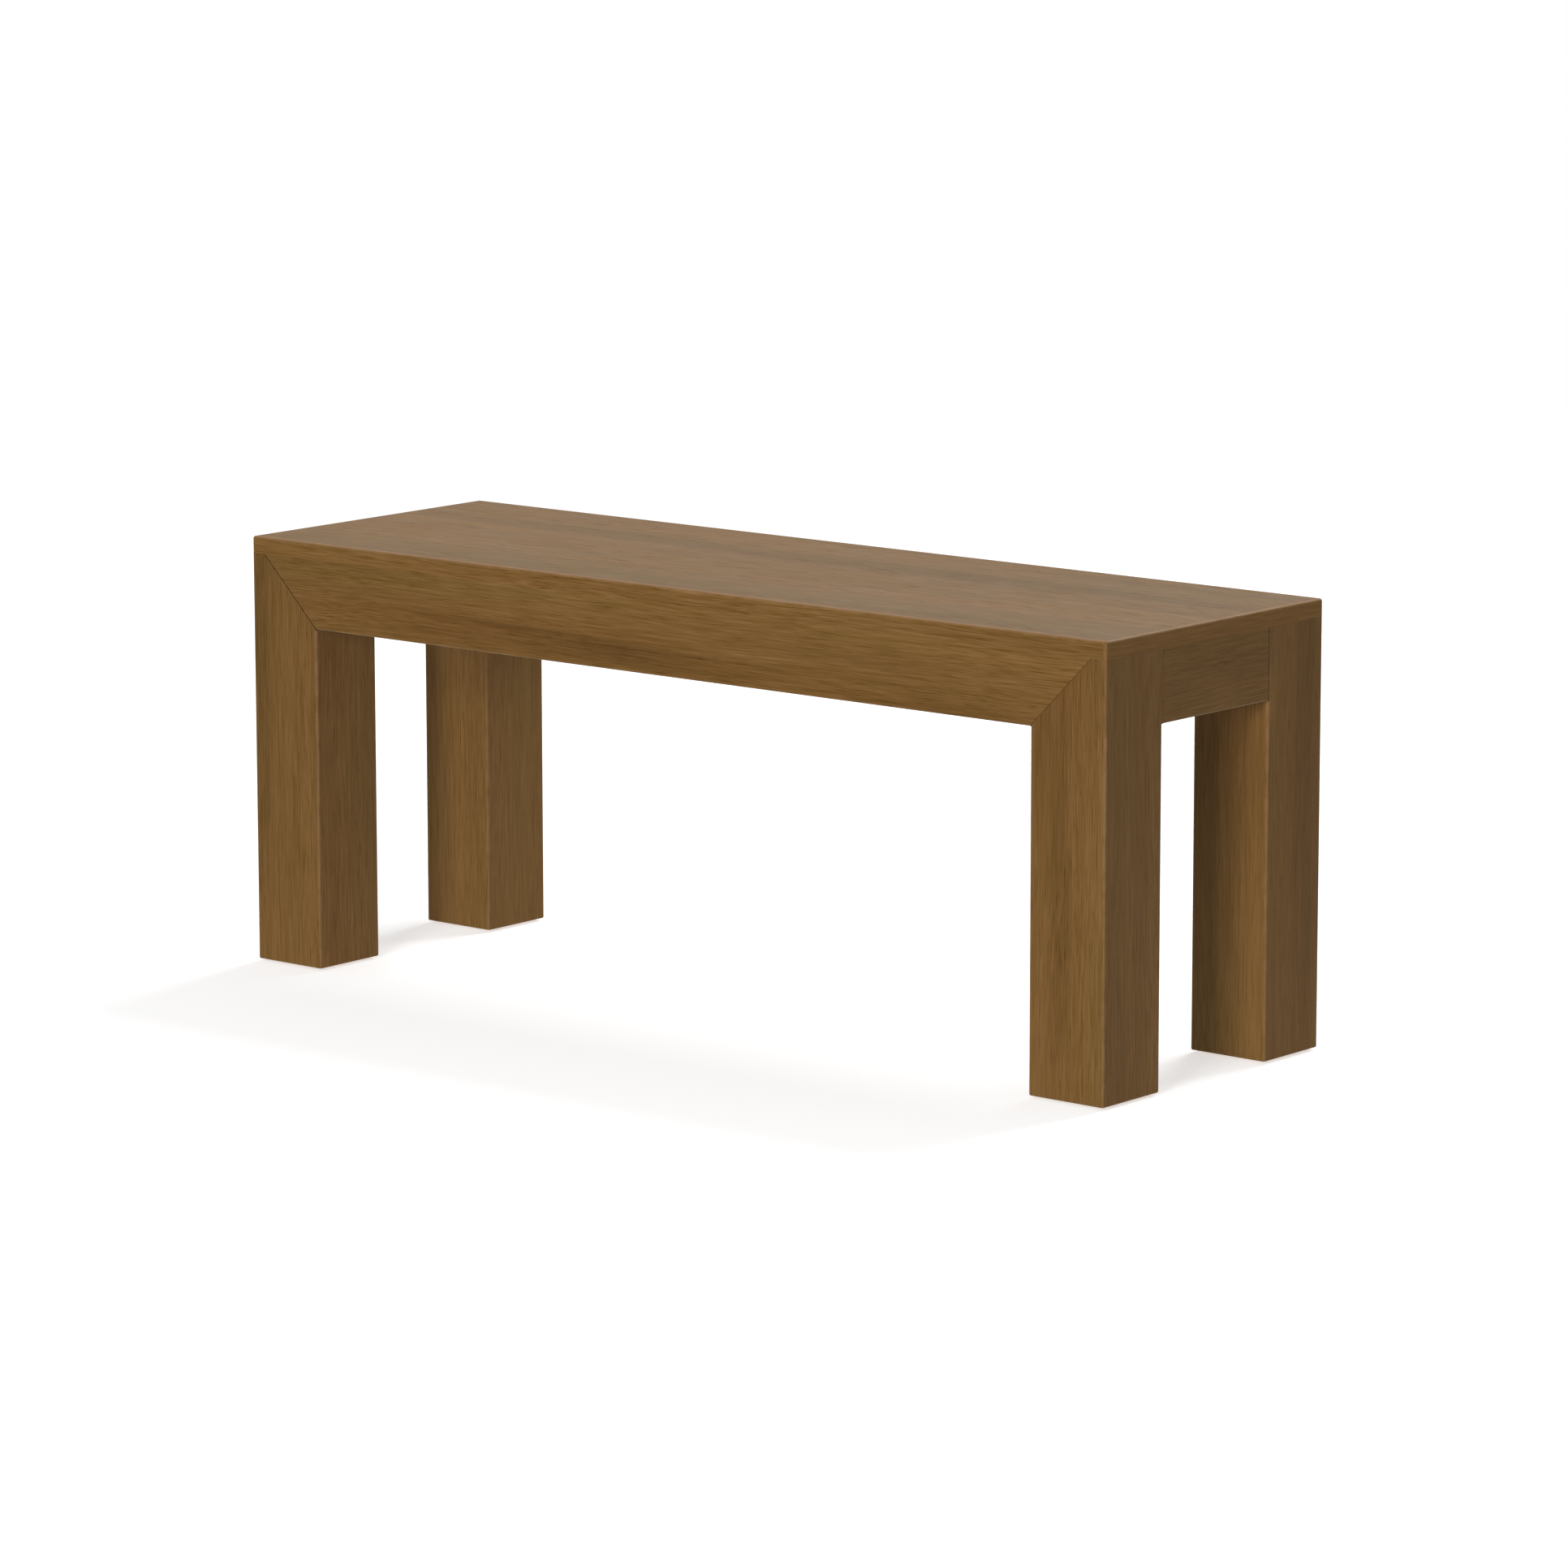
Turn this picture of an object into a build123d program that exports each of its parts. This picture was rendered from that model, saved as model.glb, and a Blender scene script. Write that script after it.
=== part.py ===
from build123d import *
from math import sqrt
import os

# A low backless bench: a glued seat frame on four bolted square legs.
# Lengths are in millimetres. The floor is z = 0, +X runs along the bench, +Y from front to
# back, and the origin is on the floor under the middle of the seat.

# Overall sizes
bench_length = 1125.0
bench_depth = 356.0
seat_height = 457.0

# Seat slab: boards glued edge to edge, with a thin lipping over their end grain
slab_thickness = 18.0
board_count = 4
lipping_thickness = 4.0
edge_radius = 3.0
edge_radius_limit_share = 0.9

# Legs and rails
leg_width = 91.0
leg_shoulder = 51.0
foot_chamfer = 1.0
rail_thickness = 22.0
rail_arris = 1.5
joint_gap = 0.3

# Corner blocks behind the rails
block_thickness = 20.0
block_height = 55.0
block_gap = 5.0

# Hanger bolts, washers and nuts
bolt_radius = 4.0
bolt_bite = 43.0
bolt_proud = 3.9
bolt_pitch = 28.0
bolt_point = 3.0
bolt_chamfer = 0.8
bolt_hole_radius = 4.5
washer_radius = 8.0
washer_thickness = 1.6
nut_across_flats = 13.0
nut_height = 6.5
nut_chamfer = 0.7

# Wood screws of the corner blocks and battens
screw_radius = 2.0
screw_head_radius = 4.0
screw_head_height = 2.4
screw_head_round = 0.9
screw_point = 1.6
slot_length = 5.0
slot_width = 1.0
slot_depth = 1.2
block_screw_seat = 8.0
block_screw_bite = 12.0
block_screw_pitch = 30.0
pocket_radius = 4.8
batten_screw_bite = 10.0
sink_angle = 90.0

# Battens across the underside of the slab
batten_width = 45.0
batten_thickness = 20.0
batten_spacing = 380.0
batten_chamfer = 2.0

# Floor glides and their nails
glide_radius = 14.0
glide_height = 3.0
glide_chamfer = 0.8
nail_radius = 1.2
nail_bite = 16.0
nail_point = 0.9
nail_head_radius = 3.5
nail_head_height = 1.0
nail_head_drop = 1.0

# Clearance round everything that is driven into wood or turned on to a thread
driven_fit = 0.1
# Cuts run past the faces that they open by this much
overrun = 5.0

# Levels
slab_underside = seat_height - slab_thickness
# The slab's edge and the rail under it are together as deep as a leg is wide, which sends
# the mitre on the front to the seat's outer top corner
rail_height = leg_width - slab_thickness
rail_bottom = slab_underside - rail_height

# Places measured from the middle
half_length = bench_length / 2
half_depth = bench_depth / 2
outer_radius = min(edge_radius, edge_radius_limit_share * lipping_thickness)
board_width = bench_depth / board_count
board_length = bench_length - 2 * lipping_thickness
rail_inner_x = half_length - rail_thickness
rail_inner_y = half_depth - rail_thickness
leg_middle_x = half_length - leg_width / 2
leg_middle_y = half_depth - leg_width / 2

# Corner geometry of the front left leg, measured inward from the bench's outer corner. Each
# inner face of the leg keeps a flat shoulder beside the bevel that cuts off its inner corner,
# and the bevel and the corner block stand square to the leg's diagonal.
leg_bevel = leg_width - leg_shoulder
bevel_side = leg_width - leg_bevel / 2
bolt_reach = block_gap + block_thickness
bolt_length = bolt_bite + bolt_reach + washer_thickness + nut_height + bolt_proud
block_near = 2 * bevel_side + block_gap * sqrt(2)
block_far = block_near + block_thickness * sqrt(2)
block_middle = slab_underside - block_height / 2
# The block screws stand in the middle of the block's narrow face on the rail
block_screw_side = (block_near + block_far) / 2 - rail_thickness
block_screw_length = block_screw_seat + block_screw_bite
batten_screw_length = batten_thickness + batten_screw_bite

corners = {
    "front_left": (False, False),
    "front_right": (True, False),
    "rear_left": (False, True),
    "rear_right": (True, True),
}


def save(piece, node):
    """Labels a finished piece and writes it as the STEP file of its node."""
    piece.label = node
    export_step(piece, f"parts/{node}.step")


def at_corner(piece, corner):
    """Mirrors a piece of the front left corner to another corner of the bench."""
    across, behind = corners[corner]
    if across:
        piece = mirror(piece, about=Plane.YZ)
    if behind:
        piece = mirror(piece, about=Plane.XZ)
    return piece


def bolt_planes(out):
    """Planes square to the front left leg's bolts, a distance out from its bevel."""
    side = bevel_side + out / sqrt(2)
    return [
        Plane(
            origin=(side - half_length, side - half_depth, block_middle + rise),
            x_dir=(0, 0, 1),
            z_dir=(1, 1, 0),
        )
        for rise in (-bolt_pitch / 2, bolt_pitch / 2)
    ]


def long_rail_screw_planes(out):
    """Planes of the front left block's screws, a distance in from the front rail."""
    return [
        Plane(
            origin=(block_screw_side - half_length, out - rail_inner_y, block_middle + rise),
            x_dir=(1, 0, 0),
            z_dir=(0, 1, 0),
        )
        for rise in (-block_screw_pitch / 2, block_screw_pitch / 2)
    ]


def end_rail_screw_planes(out):
    """Planes of the front left block's screws, a distance in from the left rail."""
    return [
        Plane(
            origin=(out - rail_inner_x, block_screw_side - half_depth, block_middle + rise),
            x_dir=(0, 1, 0),
            z_dir=(1, 0, 0),
        )
        for rise in (-block_screw_pitch / 2, block_screw_pitch / 2)
    ]


def board_middle(number):
    """Distance of a board's middle from the bench's middle, board 0 being the front one."""
    return (number + 0.5) * board_width - half_depth


def batten_screw_plane(side, number, level):
    """The plane, facing down at a level, of the screw of one batten in one board."""
    return Plane(
        origin=(side * batten_spacing / 2, board_middle(number), level),
        x_dir=(1, 0, 0),
        z_dir=(0, 0, -1),
    )


os.makedirs("parts", exist_ok=True)

# Seat boards, from the front one to the rear one. Only the outer top edges are rounded, so
# the glued seams lie flat.
for number in range(board_count):
    with BuildPart() as board:
        with BuildSketch(Plane.XY.offset(slab_underside)):
            with Locations((0, board_middle(number))):
                Rectangle(board_length, board_width)
        extrude(amount=slab_thickness)
        top_edges = board.edges().filter_by(Axis.X).group_by(Axis.Z)[-1].sort_by(Axis.Y)
        rounded = []
        if number == 0:
            rounded.append(top_edges[0])
        if number == board_count - 1:
            rounded.append(top_edges[-1])
        if rounded:
            fillet(rounded, radius=outer_radius)
        with BuildSketch(*[batten_screw_plane(side, number, slab_underside) for side in (-1, 1)]):
            Circle(screw_radius + driven_fit)
        extrude(amount=-batten_screw_bite, mode=Mode.SUBTRACT)
    save(board.part, f"seat_board_{number + 1}")

# End lippings, with the seat's upright corners
with BuildPart() as lipping:
    with BuildSketch(Plane.XY.offset(slab_underside)):
        with Locations((lipping_thickness / 2 - half_length, 0)):
            Rectangle(lipping_thickness, bench_depth)
    extrude(amount=slab_thickness)
    outer_edges = (
        lipping.edges().filter_by(Axis.Z).group_by(Axis.X)[0]
        + lipping.edges().filter_by(Axis.Y).group_by(Axis.Z)[-1].sort_by(Axis.X)[:1]
        + lipping.edges().filter_by(Axis.X).group_by(Axis.Z)[-1]
    )
    fillet(outer_edges, radius=outer_radius)
save(lipping.part, "left_lipping")
save(mirror(lipping.part, about=Plane.YZ), "right_lipping")

# Long rails: their ends run over the legs' faces and are cut back at 45 degrees. Half of the
# rail is drawn, and mirrored about the bench's middle.
mitre_gap = joint_gap * sqrt(2)
with BuildPart() as front_rail:
    with BuildSketch(Plane.XZ.offset(half_depth)):
        with BuildLine():
            Polyline(
                (0, slab_underside),
                (slab_thickness + mitre_gap - half_length, slab_underside),
                (leg_width + mitre_gap - half_length, rail_bottom),
                (0, rail_bottom),
                close=True,
            )
        make_face()
    extrude(amount=-rail_thickness)
    lower_edges = front_rail.edges().filter_by(Axis.X).group_by(Axis.Z)[0]
    fillet(lower_edges.sort_by(Axis.Y)[0], radius=rail_arris)
    with BuildSketch(*long_rail_screw_planes(0)):
        Circle(screw_radius + driven_fit)
    extrude(amount=-block_screw_bite, mode=Mode.SUBTRACT)
    mirror(about=Plane.YZ)
save(front_rail.part, "front_rail")
save(mirror(front_rail.part, about=Plane.XZ), "rear_rail")

# End rails: square ends between the legs, drawn as a half and mirrored the same way
end_rail_half = half_depth - leg_width - joint_gap
with BuildPart() as left_rail:
    with BuildSketch(Plane.XY.offset(rail_bottom)):
        with Locations((rail_thickness / 2 - half_length, -end_rail_half / 2)):
            Rectangle(rail_thickness, end_rail_half)
    extrude(amount=rail_height)
    lower_edges = left_rail.edges().filter_by(Axis.Y).group_by(Axis.Z)[0]
    fillet(lower_edges.sort_by(Axis.X)[0], radius=rail_arris)
    with BuildSketch(*end_rail_screw_planes(0)):
        Circle(screw_radius + driven_fit)
    extrude(amount=-block_screw_bite, mode=Mode.SUBTRACT)
    mirror(about=Plane.XZ)
save(left_rail.part, "left_rail")
save(mirror(left_rail.part, about=Plane.YZ), "right_rail")

# Legs. Below the rails all four upright edges are rounded. Beside the rails only the bench's
# outer corner is, so that the rails meet flat faces.
with BuildPart() as leg:
    with BuildSketch(Plane.XY.offset(glide_height)) as foot_outline:
        with Locations((-leg_middle_x, -leg_middle_y)):
            Rectangle(leg_width, leg_width)
        fillet(foot_outline.vertices(), radius=outer_radius)
    extrude(amount=rail_bottom - glide_height)
    chamfer(leg.faces().sort_by(Axis.Z)[0].edges(), length=foot_chamfer)
    with BuildSketch(Plane.XY.offset(rail_bottom)) as head_outline:
        with Locations((-leg_middle_x, -leg_middle_y)):
            Rectangle(leg_width, leg_width)
        outer_corner = head_outline.vertices().group_by(Axis.X)[0].sort_by(Axis.Y)[0]
        fillet(outer_corner, radius=outer_radius)
    extrude(amount=rail_height)
    # The seat for the long rail's mitred end
    with BuildSketch(Plane.XZ.offset(half_depth + overrun)):
        with BuildLine():
            Polyline(
                (slab_thickness - overrun - half_length, slab_underside + overrun),
                (leg_width + overrun - half_length, slab_underside + overrun),
                (leg_width + overrun - half_length, rail_bottom - overrun),
                close=True,
            )
        make_face()
    extrude(amount=-(overrun + rail_thickness + joint_gap), mode=Mode.SUBTRACT)
    # The bevel that faces the corner block, which the rails hide
    with BuildSketch(Plane.XY.offset(block_middle - block_height / 2)):
        with BuildLine():
            inner_x = leg_width - half_length
            inner_y = leg_width - half_depth
            Polyline(
                (inner_x + overrun, inner_y + overrun),
                (inner_x - leg_bevel - overrun, inner_y + overrun),
                (inner_x + overrun, inner_y - leg_bevel - overrun),
                close=True,
            )
        make_face()
    extrude(amount=block_height + overrun, mode=Mode.SUBTRACT)
    with BuildSketch(*bolt_planes(0)):
        Circle(bolt_radius + driven_fit)
    extrude(amount=-bolt_bite, mode=Mode.SUBTRACT)
    with BuildSketch(Plane.XY.offset(glide_height)):
        with Locations((-leg_middle_x, -leg_middle_y)):
            Circle(nail_radius + driven_fit)
    extrude(amount=nail_bite, mode=Mode.SUBTRACT)
for corner in corners:
    save(at_corner(leg.part, corner), f"{corner}_leg")

# Corner blocks: boards across the corner on edge, with their ends cut to lie on both rails
with BuildPart() as block:
    with BuildSketch(Plane.XY.offset(block_middle - block_height / 2)):
        with BuildLine():
            Polyline(
                (block_near - rail_thickness - half_length, -rail_inner_y),
                (block_far - rail_thickness - half_length, -rail_inner_y),
                (-rail_inner_x, block_far - rail_thickness - half_depth),
                (-rail_inner_x, block_near - rail_thickness - half_depth),
                close=True,
            )
        make_face()
    extrude(amount=block_height)
    with BuildSketch(*bolt_planes(0)):
        Circle(bolt_hole_radius)
    extrude(amount=bolt_reach + overrun, mode=Mode.SUBTRACT)
    with BuildSketch(*long_rail_screw_planes(0), *end_rail_screw_planes(0)):
        Circle(screw_radius + driven_fit)
    extrude(amount=block_screw_seat, mode=Mode.SUBTRACT)
    pocket_planes = long_rail_screw_planes(block_screw_seat)
    pocket_planes += end_rail_screw_planes(block_screw_seat)
    with BuildSketch(*pocket_planes):
        Circle(pocket_radius)
    extrude(amount=block_thickness + overrun, mode=Mode.SUBTRACT)
for corner in corners:
    save(at_corner(block.part, corner), f"{corner}_block")

# Battens, whose lower edges are eased
batten_underside = slab_underside - batten_thickness
batten_screw_seats = [
    batten_screw_plane(-1, number, batten_underside) for number in range(board_count)
]
with BuildPart() as batten:
    with BuildSketch(Plane.XY.offset(batten_underside)):
        with Locations((-batten_spacing / 2, 0)):
            Rectangle(batten_width, 2 * rail_inner_y)
    extrude(amount=batten_thickness)
    lower_edges = batten.edges().filter_by(Axis.Y).group_by(Axis.Z)[0]
    chamfer(lower_edges, length=batten_chamfer)
    with Locations(*batten_screw_seats):
        CounterSinkHole(
            radius=screw_radius + driven_fit,
            counter_sink_radius=screw_head_radius + driven_fit,
            depth=batten_thickness,
            counter_sink_angle=sink_angle,
        )
save(batten.part, "left_batten")
save(mirror(batten.part, about=Plane.YZ), "right_batten")

# Floor glides: discs with a sunk seat for the nail's head in their lower face
with BuildPart() as glide:
    with BuildSketch():
        with Locations((-leg_middle_x, -leg_middle_y)):
            Circle(glide_radius)
    extrude(amount=glide_height)
    chamfer(glide.edges().group_by(Axis.Z)[0], length=glide_chamfer)
    with BuildSketch():
        with Locations((-leg_middle_x, -leg_middle_y)):
            Circle(nail_radius + driven_fit)
    extrude(amount=glide_height, mode=Mode.SUBTRACT)
    with BuildSketch():
        with Locations((-leg_middle_x, -leg_middle_y)):
            Circle(nail_head_radius + driven_fit)
    extrude(amount=nail_head_drop + nail_head_height, mode=Mode.SUBTRACT)
for corner in corners:
    save(at_corner(glide.part, corner), f"{corner}_glide")

# Fasteners are drawn once, at the origin with +Z towards the hand that drives them, and
# placed in the front left corner. The two mirrors fill the other corners.
with BuildPart() as nail:
    nail_length = nail_bite + glide_height - nail_head_drop - nail_head_height
    with BuildSketch():
        Circle(nail_radius)
    extrude(amount=-nail_length)
    chamfer(nail.faces().sort_by(Axis.Z)[0].edges(), length=nail_point)
    with BuildSketch():
        Circle(nail_head_radius)
    extrude(amount=nail_head_height)
nail_seat = Plane(
    origin=(-leg_middle_x, -leg_middle_y, nail_head_drop + nail_head_height),
    z_dir=(0, 0, -1),
)
with BuildPart() as glide_nails:
    with Locations(nail_seat):
        add(nail.part)
    mirror(about=Plane.YZ)
    mirror(about=Plane.XZ)
save(glide_nails.part, "glide_nails")

# Hanger bolts: the point end is in the leg and the blunt end carries the nut
with BuildPart() as bolt:
    with BuildSketch():
        Circle(bolt_radius)
    extrude(amount=bolt_length)
    chamfer(bolt.faces().sort_by(Axis.Z)[0].edges(), length=bolt_point)
    chamfer(bolt.faces().sort_by(Axis.Z)[-1].edges(), length=bolt_chamfer)
with BuildPart() as hanger_bolts:
    with Locations(*bolt_planes(-bolt_bite)):
        add(bolt.part)
    mirror(about=Plane.YZ)
    mirror(about=Plane.XZ)
save(hanger_bolts.part, "hanger_bolts")

with BuildPart() as washer:
    with BuildSketch():
        Circle(washer_radius)
        Circle(bolt_radius + driven_fit, mode=Mode.SUBTRACT)
    extrude(amount=washer_thickness)
with BuildPart() as washers:
    with Locations(*bolt_planes(bolt_reach)):
        add(washer.part)
    mirror(about=Plane.YZ)
    mirror(about=Plane.XZ)
save(washers.part, "washers")

# Nuts, whose outer corners are turned off at 30 degrees
with BuildPart() as nut:
    corner_radius = nut_across_flats / sqrt(3)
    with BuildSketch():
        RegularPolygon(radius=nut_across_flats / 2, side_count=6, major_radius=False)
    extrude(amount=nut_height)
    with BuildSketch(Plane.XZ):
        with BuildLine():
            Polyline(
                (0, 0),
                (corner_radius, 0),
                (corner_radius, nut_height - nut_chamfer),
                (corner_radius - nut_chamfer * sqrt(3), nut_height),
                (0, nut_height),
                close=True,
            )
        make_face()
    revolve(axis=Axis.Z, mode=Mode.INTERSECT)
    with BuildSketch():
        Circle(bolt_radius + driven_fit)
    extrude(amount=nut_height, mode=Mode.SUBTRACT)
with BuildPart() as nuts:
    with Locations(*bolt_planes(bolt_reach + washer_thickness)):
        add(nut.part)
    mirror(about=Plane.YZ)
    mirror(about=Plane.XZ)
save(nuts.part, "nuts")

# Corner block screws: round heads on the floors of their pockets, with a cross slot
with BuildPart() as round_head_screw:
    with BuildSketch():
        Circle(screw_radius)
    extrude(amount=-block_screw_length)
    chamfer(round_head_screw.faces().sort_by(Axis.Z)[0].edges(), length=screw_point)
    with BuildSketch():
        Circle(screw_head_radius)
    extrude(amount=screw_head_height)
    fillet(round_head_screw.edges().group_by(Axis.Z)[-1], radius=screw_head_round)
    with BuildSketch(Plane.XY.offset(screw_head_height)):
        Rectangle(slot_length, slot_width)
        Rectangle(slot_width, slot_length)
    extrude(amount=-slot_depth, mode=Mode.SUBTRACT)
with BuildPart() as block_screws:
    with Locations(*pocket_planes):
        add(round_head_screw.part)
    mirror(about=Plane.YZ)
    mirror(about=Plane.XZ)
save(block_screws.part, "block_screws")

# Batten screws: sunk heads, flush with the batten's underside
with BuildPart() as sunk_head_screw:
    with BuildSketch(Plane.XZ):
        with BuildLine():
            Polyline(
                (0, 0),
                (screw_head_radius, 0),
                (screw_radius, screw_radius - screw_head_radius),
                (screw_radius, screw_point - batten_screw_length),
                (screw_radius - screw_point, -batten_screw_length),
                (0, -batten_screw_length),
                close=True,
            )
        make_face()
    revolve(axis=Axis.Z)
    with BuildSketch():
        Rectangle(slot_length, slot_width)
        Rectangle(slot_width, slot_length)
    extrude(amount=-slot_depth, mode=Mode.SUBTRACT)
with BuildPart() as batten_screws:
    with Locations(*batten_screw_seats):
        add(sunk_head_screw.part)
    mirror(about=Plane.YZ)
save(batten_screws.part, "batten_screws")
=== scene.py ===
"""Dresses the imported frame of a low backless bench: a stained seat, rails and legs, bare corner
blocks and battens, threaded leg bolts, screws and floor glides, and the studio round them.

Lengths are in metres on the frame's own axes: +X runs along the bench, +Y from front to back,
and the floor is z = 0.
"""

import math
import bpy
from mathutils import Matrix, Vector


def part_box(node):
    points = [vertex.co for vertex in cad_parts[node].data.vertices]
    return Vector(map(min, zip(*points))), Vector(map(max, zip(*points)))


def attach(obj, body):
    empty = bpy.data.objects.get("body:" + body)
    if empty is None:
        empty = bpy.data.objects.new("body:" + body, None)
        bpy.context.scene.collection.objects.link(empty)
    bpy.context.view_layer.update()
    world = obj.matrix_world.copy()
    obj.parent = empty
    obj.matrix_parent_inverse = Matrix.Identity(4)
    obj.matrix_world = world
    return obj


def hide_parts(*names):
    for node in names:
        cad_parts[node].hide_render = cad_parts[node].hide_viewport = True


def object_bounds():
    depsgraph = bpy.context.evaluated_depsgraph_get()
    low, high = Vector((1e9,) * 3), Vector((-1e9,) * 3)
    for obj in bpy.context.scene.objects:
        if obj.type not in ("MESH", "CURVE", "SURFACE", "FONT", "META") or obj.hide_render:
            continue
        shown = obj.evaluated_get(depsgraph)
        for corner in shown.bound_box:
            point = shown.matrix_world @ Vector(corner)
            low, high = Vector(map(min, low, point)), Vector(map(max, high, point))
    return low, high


bl_info = {
    "name": "Backless Bench Finish",
    "version": (1, 0, 0),
    "blender": (4, 5, 0),
    "location": "3D View > Sidebar > Bench",
    "description": "Finishes a backless wooden bench and sets up a plain studio round it",
    "category": "Object",
}

from collections import namedtuple

import bpy
import numpy as np
from bpy.props import FloatProperty, FloatVectorProperty, IntProperty, PointerProperty
from mathutils import Euler, Matrix, Vector

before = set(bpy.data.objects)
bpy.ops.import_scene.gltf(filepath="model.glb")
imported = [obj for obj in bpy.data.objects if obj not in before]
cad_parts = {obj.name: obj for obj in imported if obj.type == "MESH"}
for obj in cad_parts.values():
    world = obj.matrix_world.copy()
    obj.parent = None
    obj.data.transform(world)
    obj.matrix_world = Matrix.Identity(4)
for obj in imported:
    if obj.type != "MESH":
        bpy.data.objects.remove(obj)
cad_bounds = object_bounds()

BODY = "root"
MM = 0.001

# Places taken from the frame
BENCH_LOW, BENCH_HIGH = cad_bounds
RAIL_LOW, RAIL_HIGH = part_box("front_rail")
LEG_LOW, LEG_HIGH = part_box("front_left_leg")
BLOCK_LOW, BLOCK_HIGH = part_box("front_left_block")
BATTEN_LOW, BATTEN_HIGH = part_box("right_batten")
GLIDE_LOW, GLIDE_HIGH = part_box("front_left_glide")
HALF_LENGTH = BENCH_HIGH.x
HALF_DEPTH = BENCH_HIGH.y
SLAB_UNDERSIDE = RAIL_HIGH.z
SLAB_THICKNESS = BENCH_HIGH.z - SLAB_UNDERSIDE
RAIL_BOTTOM = RAIL_LOW.z
RAIL_THICKNESS = RAIL_HIGH.y - RAIL_LOW.y
LEG_WIDTH = LEG_HIGH.x - LEG_LOW.x
BLOCK_MIDDLE = (BLOCK_LOW.z + BLOCK_HIGH.z) / 2

CORNERS = {
    "front_left": (-1, -1),
    "front_right": (1, -1),
    "rear_left": (-1, 1),
    "rear_right": (1, 1),
}
BOARDS = [f"seat_board_{number}" for number in range(1, 5)]

# Turns that lay a piece's grain along X before its figure is worked out
ALONG = (0.0, 0.0, 0.0)
ACROSS = (0.0, 0.0, -math.pi / 2)
UPRIGHT = (0.0, math.pi / 2, 0.0)
FALLING = (0.0, 0.0, math.pi / 4)
RISING = (0.0, 0.0, -math.pi / 4)

# How a piece is cut from the tree. Grain turns its length along X. Pith is where its middle lies
# from the tree's middle: along the grain, across it and through it. Contrast scales its broad
# bands, lean turns its colour to red, or to olive where it is below zero, shade is how light it
# is, slope is how much lighter it gets along the grain in a metre, and fine is how strong its
# fibres and pores are. On the legs and the seat's boards the slope is painted light. Each streak
# is darker or lighter colour round a place in the piece, from its middle, with half sizes and
# with a depth that is below zero where the streak is lighter. The streaks that are painted light
# are marked where they stand.
CUT_FIELDS = "grain pith contrast lean shade slope fine streaks"
Cut = namedtuple("Cut", CUT_FIELDS, defaults=(0.8, 0.0, 1.0, 0.0, 1.0, ()))

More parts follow.
